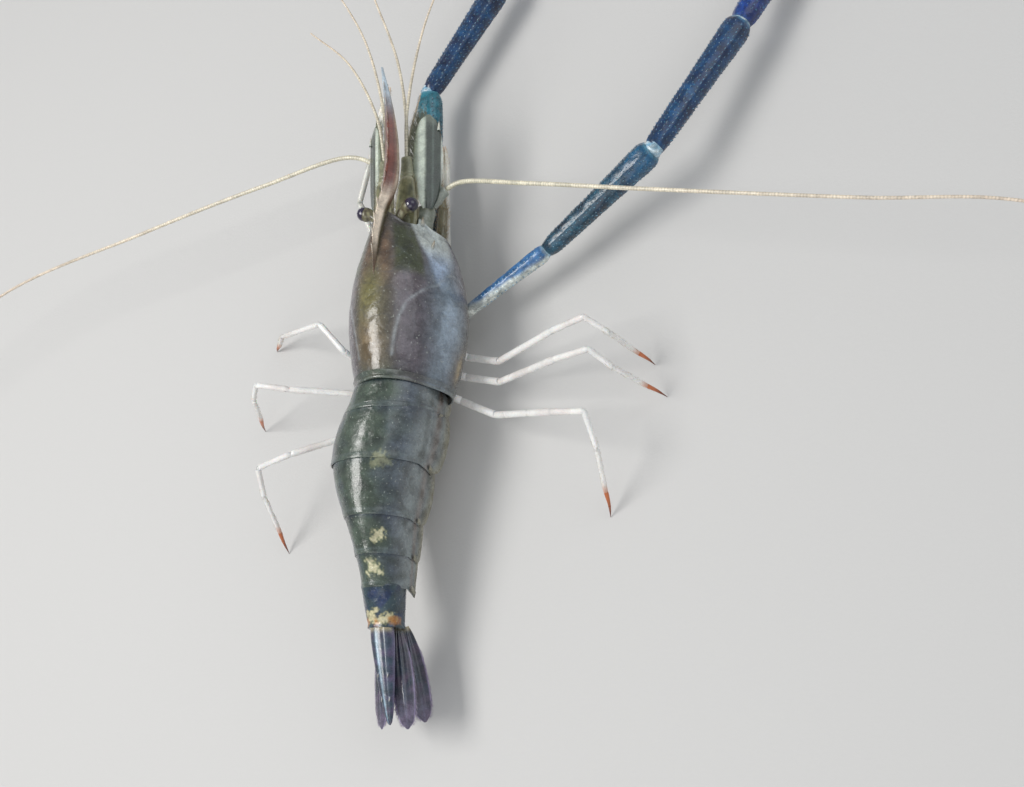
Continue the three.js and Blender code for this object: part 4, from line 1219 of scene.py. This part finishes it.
def tail_tint(index, grid, down, along):
    spots = dabs(grid, PALE_DABS, 410)
    dark_end, dull_dab, pale_dab = (0.35, 0.45, 0.1) if index < 3 else (0.85, 0.8, 0.7)
    return paint(
        grid, 0x414D42,
        (0x4A5360, ease(0.12, 0.5, down + 0.1 * ripple(grid, 9, 399))),
        (0x7C8585, ease(0.3, 0.65, down) * 0.8),
        (0x2A332F, np.clip(ripple(grid, 7, 400 + index), 0, 1) * 0.7),
        (0x17273E, ease(0.5, 1.0, along) * dark_end),
        (0x707C7C, bell(along, -0.95, 0.05) * 0.35),
        (0x8A8570, ease(0.84, 0.99, down) * 0.8),
        (0x7D6456, bell(down, 0.8, 0.05) * 0.4),
        (0x8A8E6C, ease(0, 0.7, spots) * dull_dab),
        (0xC9C2A2, ease(0.5, 1, spots) * pale_dab),
    )


def tail_plate(index):
    low, front, back, proud = FLAPS[index]
    fore = TAIL_EDGES[index]
    hind = TAIL_EDGES[index + 1]
    y = rows_of(hind - OVER_LAP, fore + UNDER_LAP, 46)
    share = np.linspace(-1, 1, 150)[None, :]
    along = np.clip(2 * (y - hind) / (fore - hind) - 1, -1, 1)
    down = np.abs(share)
    top = tail_top(y)
    half = tail_half(y) + proud
    widest = 33 - (TOP_LEVEL - top) * 0.5
    belly = belly_level(y)
    deep = np.sqrt(np.clip(1 - along ** 2, 0, 1)) ** 0.8
    edge = np.minimum(lerp(belly - 1.5, low, deep), belly - 1.5)
    dome = down < DOME_SHARE
    angle = np.clip(down / DOME_SHARE, 0, 1) * np.pi / 2
    hang = np.clip((down - DOME_SHARE) / (1 - DOME_SHARE), 0, 1)
    x = np.where(dome, half * np.sin(angle), half * (1 - 0.07 * hang ** 2.2)) * np.sign(share)
    z = np.where(dome, widest + (top - widest) * np.cos(angle), lerp(widest, edge, hang))
    hanging = np.clip((widest - z) / (widest - low), 0, 1)
    spread = np.where(along > 0, front * along, back * along)
    grid = grid_of(x + swing(y), y + spread * hanging, z)
    run = y - hind
    left = fore - y
    lift = 0.3 * ease(3.5, -0.6, run) + 0.07 * bell(run, -0.75, 0.35) - 0.05 * bell(run, 1.2, 0.7)
    lift = lift - 0.5 * ease(1.2, -0.6, left)
    lift = lift + ripple(grid, 9, 420 + index) * 0.08 * ease(0, 2, left)
    grid = grid + outward(grid) * lift[..., None]
    tone = tail_tint(index, grid, down, along)
    grid, tone = fold(grid, tone, 0.4, 2.0, 0, False)
    for last in (True, False):
        grid, tone = fold(grid, tone, 0.55, 5.0, 1, last)
    form = Form()
    form.sheet(grid, tone)
    form.make(f"tail_plate_{index + 1}", SHELL, "shell", f"abdomen_{index + 1}")


def tail_last():
    y = rows_of(TAIL_EDGES[-1] - 0.6, TAIL_EDGES[-2] + UNDER_LAP, 60)
    turn = turns(72)
    middle = 0.5 * (tail_top(y) + LAST_LOW)
    height = 0.5 * (tail_top(y) - LAST_LOW)
    grid = grid_of(tail_half(y) * signed(np.sin(turn), 0.92) + swing(y), y, middle + height * np.cos(turn))
    lift = -0.7 * ease(-70.8, -69, y) + 0.16 * bell(y, -84.2, 0.5) - 0.15 * bell(y, -82.8, 0.6)
    lift = lift + ripple(grid, 7, 431) * 0.07
    grid = grid + outward(grid, True) * lift[..., None]
    spots = dabs(grid, PALE_DABS, 410)
    tone = paint(
        grid, 0x2F4148,
        (0x14284A, np.clip(ripple(grid, 6, 432) + 0.3, 0, 1)),
        (0x8E8C66, ease(0, 0.7, spots) * 0.85),
        (0xCDC4A0, ease(0.5, 1, spots) * 0.7),
        (0xA8702F, dabs(grid, ORANGE_DABS, 420) * 0.85),
        (0xB9B7A4, ease(0.2, 0.9, -np.cos(turn)) * 0.7),
    )
    lofted("tail_plate_6", grid, tone, SHELL, "shell", "abdomen_6")


def tail():
    for index in range(len(FLAPS)):
        tail_plate(index)
    tail_last()

    y = rows_of(*UNDERSIDE_SPAN, 150)
    turn = turns(44)
    ribs = np.maximum.reduce([bell(y, 0.5 * (a + b), 1.6) for a, b in zip(TAIL_EDGES[:5], TAIL_EDGES[1:6])])
    x = (tail_half(y) * 0.9 - 1.4) * signed(np.sin(turn), 0.5)
    z = belly_level(y) + 3.5 + (3.5 + 0.7 * (ribs - 1)) * signed(np.cos(turn), 0.6)
    grid = grid_of(x + swing(y), y, z)
    lofted("tail_underside", grid, paint(grid, 0x9A9A88, (0xD2CFBE, ribs)), BELLY, "underside")


def paddle_lobe(form, hair, root, tip, sign, number, lobe, lean):
    end = tip + vec(sign * (lean * 1.1 - 1.6), lean * 0.8, 0 if lean > 0 else 1.5)
    start = lerp(root, tip, 0.28)
    normal = unit(vec(0.25 * lean * sign, 1, -0.2))
    blade, _, across = leaf(start, end, normal, 2.5, 0.3, LEAF, 36, 28, ((0, 0.12, 0.12),))
    form.loft(blade, paint(
        blade, 0xB9AD98,
        (0x8E7C68, bell(across, 0, 0.18) * 0.5),
        (0xA58A7C, ease(0.7, 1, np.abs(across)) * 0.5),
    ))
    rng = np.random.default_rng(500 + 10 * number + lobe)
    count = 110
    share = np.sort(rng.uniform(0.15, 1, count))
    beside = unit(np.cross(unit(end - root), normal))
    for edge in (1, -1):
        base = lerp(start, end, share[:, None]) + beside * edge * (LEAF(share) * 2.45)[:, None]
        way = unit(end - root) * lerp(0.7, 1.4, share)[:, None] + beside * edge * 0.8
        way = way + rng.normal(0, 0.08, (count, 3))
        room = np.maximum(0.3, (base[:, 2] - 0.4) / 1.1)
        reach = np.minimum(rng.uniform(0.9, 1.6, count), room)
        level = 0.06 + 0.22 * lobe + 0.11 * (edge > 0)
        fringe(hair, base, way, reach, 0.05, 0xA08A78, 0xCDBBA8, level, 0.03)


def swimmerets():
    for side, sign in SIDES:
        for number, length in enumerate(PADDLE_LENGTH):
            y = 0.5 * (TAIL_EDGES[number] + TAIL_EDGES[number + 1]) + 2
            root = vec(swing(y) + sign * 0.36 * tail_half(y), y, belly_level(y) + 0.6)
            tip = root + vec(sign * PADDLE_LEAN[number], -5, -length)
            stem = lerp(root, lerp(root, tip, 0.34), rows_of(0, 1, 16))
            stem = tube(stem, taper(16, [0, 0.2, 0.8, 1], [1.5, 1.75, 1.6, 1.1]), 20)
            form = Form()
            hair = Form()
            form.loft(stem, paint(stem, 0xC2B79E, (0x9C7F66, 0.5 + 0.5 * ripple(stem, 3, 441))))
            for lobe, lean in enumerate((1.0, -0.75)):
                paddle_lobe(form, hair, root, tip, sign, number, lobe, lean)
            form.make(f"paddle_{number + 1}_{side}", LEG, "swimmeret", f"swimmeret_{number + 1}_{side}")
            hair.make_coat(f"paddle_fringe_{number + 1}_{side}", "swimmeret")


# Tail fan

TELSON_STATIONS = (0, 0.15, 0.5, 0.85, 0.97, 1)
telson_half = smooth(TELSON_STATIONS, (4.6, 4.7, 3.6, 2, 1, 0.3))
telson_thick = smooth(TELSON_STATIONS, (2.3, 2.1, 1.6, 0.9, 0.6, 0.4))
# Pairs of spines on the middle piece: along the body, beside its middle line, and level
TELSON_SPINES = ((-100, 1.9, 29.6), (-108, 1.5, 28.2))
TELSON_END_SPINES = (-0.5, -0.18, 0.18, 0.5)
SPINE_INKS = (ink(0x56637A), ink(0xC9C2AE))
# Each blade of the fan: root and tip, half its width, and its lean in degrees
FAN_BLADES = {
    "inner": ((3.4, -83.6, 25.2), (5.2, -118.3, 22.6), 3.9, 25),
    "outer": ((5, -83.6, 22.6), (8.8, -115.8, 16.8), 4.3, 50),
}


def beside_middle(x, y, z):
    return vec(x + float(swing(y)), y, z)


def telson():
    t = rows_of(1, 0, 90)
    y = lerp(TAIL_EDGES[-1], TAIL_TIP, t)
    across = np.sin(turns(44))
    rise = np.cos(turns(44))
    above = rise > 0
    ridges = 0.3 * (bell(np.abs(across), 0.42, 0.14) - 0.6 * bell(across, 0, 0.22)) * above * (1 - t ** 2)
    grid = grid_of(telson_half(t) * across + swing(y), y, lerp(30, 26, t) + telson_thick(t) * rise + ridges)
    form = Form()
    form.loft(grid, paint(
        grid, 0x2A3846,
        (0x48405A, np.clip(0.3 + ripple(grid, 5, 451), 0, 1)),
        (0x93AEBF, bell(across, -0.3, 0.13) * above * 0.9),
        (0x55606E, bell(across, 0.45, 0.12) * above * 0.6),
        (0x6C6684, ease(0.85, 1, np.abs(across)) * 0.6),
        (0xC2B48E, ease(0.09, 0, t) * ease(-0.2, 0.6, rise) * 0.7),
    ))
    for place, beside, level in TELSON_SPINES:
        for _, sign in SIDES:
            base = beside_middle(sign * beside, place, level)
            form.spikes([base], vec(0, -1, 0.3), 1.6, 0.36, *SPINE_INKS, 8)
    for x in TELSON_END_SPINES:
        form.spikes([beside_middle(x, TAIL_TIP + 2.0, 26)], vec(x * 0.4, -1, 0), 1.85, 0.14, *SPINE_INKS, 6)
    form.make("tail_spike", FAN, "tail_fan", "telson")


def fan_blades():
    for side, sign in SIDES:
        for name, (root, tip, half, lean) in FAN_BLADES.items():
            angle = math.radians(lean)
            normal = vec(sign * math.sin(angle), 0, math.cos(angle))
            start, end = (beside_middle(sign * x, y, z) for x, y, z in (root, tip))
            ribs = ((0.0, 0.5, 0.1), (0.45 * sign, 0.22, 0.07), (-0.45 * sign, 0.14, 0.06))
            grid, t, across = leaf(start, end, normal, half * 0.985, 0.42, LEAF, 90, 60, ribs)
            tone = paint(
                grid, 0x27303D,
                (0x443A4E, np.clip(0.4 + ripple(grid, 6, 461), 0, 1)),
                (0x667284, bell(across, 0, 0.08) * 0.4),
                (0x6B6478, ease(0.55, 0.95, t) * 0.55),
                (0x9488AA, ease(0.8, 1, np.abs(across)) * ease(0.1, 0.3, t) * 0.8),
                (0xC2B48E, ease(0.08, 0.0, t) * 0.6),
            )
            lofted(f"fan_{name}_{side}", grid, tone, FAN, "tail_fan", f"uropod_{name}_{side}")

            hair = Form()
            rng = np.random.default_rng(471)
            count = 260
            share = np.sort(rng.uniform(0.25, 0.97, count))
            beside = unit(np.cross(unit(end - start), normal))
            for edge, level in ((1, 0.2), (-1, 0.6)):
                base = lerp(start, end, share[:, None])
                base = base + beside * edge * (LEAF(share) * half * 0.97)[:, None]
                way = unit(end - start) + beside * edge * 0.5 + rng.normal(0, 0.05, (count, 3))
                reach = rng.uniform(1.0, 1.7, count) * (1 - ease(0.9, 1, share) * 0.6)
                fringe(hair, base, way, reach, 0.045, 0x6E6478, 0xB9AFC4, level, 0.06)
            hair.make_coat(f"fan_fringe_{name}_{side}", "tail_fan")


# Floor, light and camera

FLOOR_HALF = 4.0
FLOOR_COLOUR = (0.57, 0.565, 0.555, 1)
FLOOR_ROUGHNESS = 0.7
LIGHT_AIM = (0, 0, 0.03)
# Lights in metres and watts: place, size, power and colour
LIGHTS = {
    "key": ((-0.45, -0.1, 1.0), (0.6, 0.4), 8.2, (1, 0.985, 0.96)),
    "fill": ((0.9, 0.3, 0.8), (0.9, 0.9), 3.0, (0.94, 0.97, 1)),
    "back": ((0.1, -0.9, 0.7), (0.9, 0.6), 2.6, (1, 1, 1)),
}
STUDIO_COLOUR = (0.9, 0.93, 0.97, 1)
STUDIO_STRENGTH = 0.42
# The camera looks down from its turn to the right and its tip to the tail, and shows AIM at AIM_PIXEL
VIEW_TURN = 26.0
VIEW_TIP = 17.0
VIEW_SPIN = 0.7
VIEW_FAR = 430.0
VIEW_LENS = 43.0
SENSOR = 36
PICTURE = (1024, 787)
AIM = (0, 0, 50)
AIM_PIXEL = (374, 378)


def link(name, data):
    piece = bpy.data.objects.new(name, data)
    bpy.context.scene.collection.objects.link(piece)
    return piece


def floor():
    mesh = bpy.data.meshes.new("floor")
    corners = [(x * FLOOR_HALF, y * FLOOR_HALF, 0) for x, y in ((-1, -1), (1, -1), (1, 1), (-1, 1))]
    mesh.from_pydata(corners, [], [(0, 1, 2, 3)])
    material = bpy.data.materials.new("floor_paper")
    material.use_nodes = True
    tree = material.node_tree
    where = add(tree, "ShaderNodeTexCoord", {}).outputs["Object"]
    grain = add(tree, "ShaderNodeTexNoise", {"Vector": where, "Scale": 900}).outputs["Fac"]
    bump = add(tree, "ShaderNodeBump", {"Height": grain, "Distance": 0.06 * MM}).outputs["Normal"]
    feed(tree, tree.nodes["Principled BSDF"], {
        "Base Color": FLOOR_COLOUR,
        "Roughness": FLOOR_ROUGHNESS,
        "Normal": bump,
    })
    mesh.materials.append(material)
    piece = link("floor", mesh)


def lights():
    for name, (place, size, power, colour) in LIGHTS.items():
        lamp = bpy.data.lights.new(name, "AREA")
        lamp.shape = "RECTANGLE"
        lamp.size, lamp.size_y = size
        lamp.energy = power
        lamp.color = colour
        piece = link(name, lamp)
        piece.location = place
        piece.rotation_euler = (Vector(LIGHT_AIM) - Vector(place)).to_track_quat("-Z", "Y").to_euler()
    scene = bpy.context.scene
    scene.world = bpy.data.worlds.new("studio")
    scene.world.use_nodes = True
    tree = scene.world.node_tree
    feed(tree, tree.nodes["Background"], {"Color": STUDIO_COLOUR, "Strength": STUDIO_STRENGTH})
    scene.view_settings.view_transform = "Standard"


def camera():
    turn, tip, spin = (math.radians(angle) for angle in (VIEW_TURN, VIEW_TIP, VIEW_SPIN))
    toward = Vector((math.sin(turn) * math.cos(tip), -math.sin(tip), math.cos(turn) * math.cos(tip)))
    upward = Vector((math.sin(tip) * math.sin(turn), math.cos(tip), math.sin(tip) * math.cos(turn)))
    across = Vector((math.cos(turn), 0, -math.sin(turn)))
    right = across * math.cos(spin) + upward * math.sin(spin)
    above = upward * math.cos(spin) - across * math.sin(spin)
    focal = VIEW_LENS / SENSOR * PICTURE[0]
    place = Vector(AIM) + toward * VIEW_FAR
    place -= right * (AIM_PIXEL[0] - PICTURE[0] / 2) / focal * VIEW_FAR
    place += above * (AIM_PIXEL[1] - PICTURE[1] / 2) / focal * VIEW_FAR
    place = place * MM + Vector(ORIGIN)
    lens = bpy.data.cameras.new("camera")
    lens.lens = VIEW_LENS
    lens.sensor_width = SENSOR
    lens.clip_start = 0.01
    piece = link("camera", lens)
    columns = (right, above, toward, place)
    piece.matrix_world = Matrix([[column[row] for column in columns] for row in range(3)] + [[0, 0, 0, 1]])
    bpy.context.scene.camera = piece


camera()
floor()
lights()
carapace()
head_front()
chest()
rostrum()
eyes()
antennules()
stem_plates()
antennae()
scales()
jaw_feet()
first_legs()
walking_legs()
arms()
tail()
swimmerets()
telson()
fan_blades()
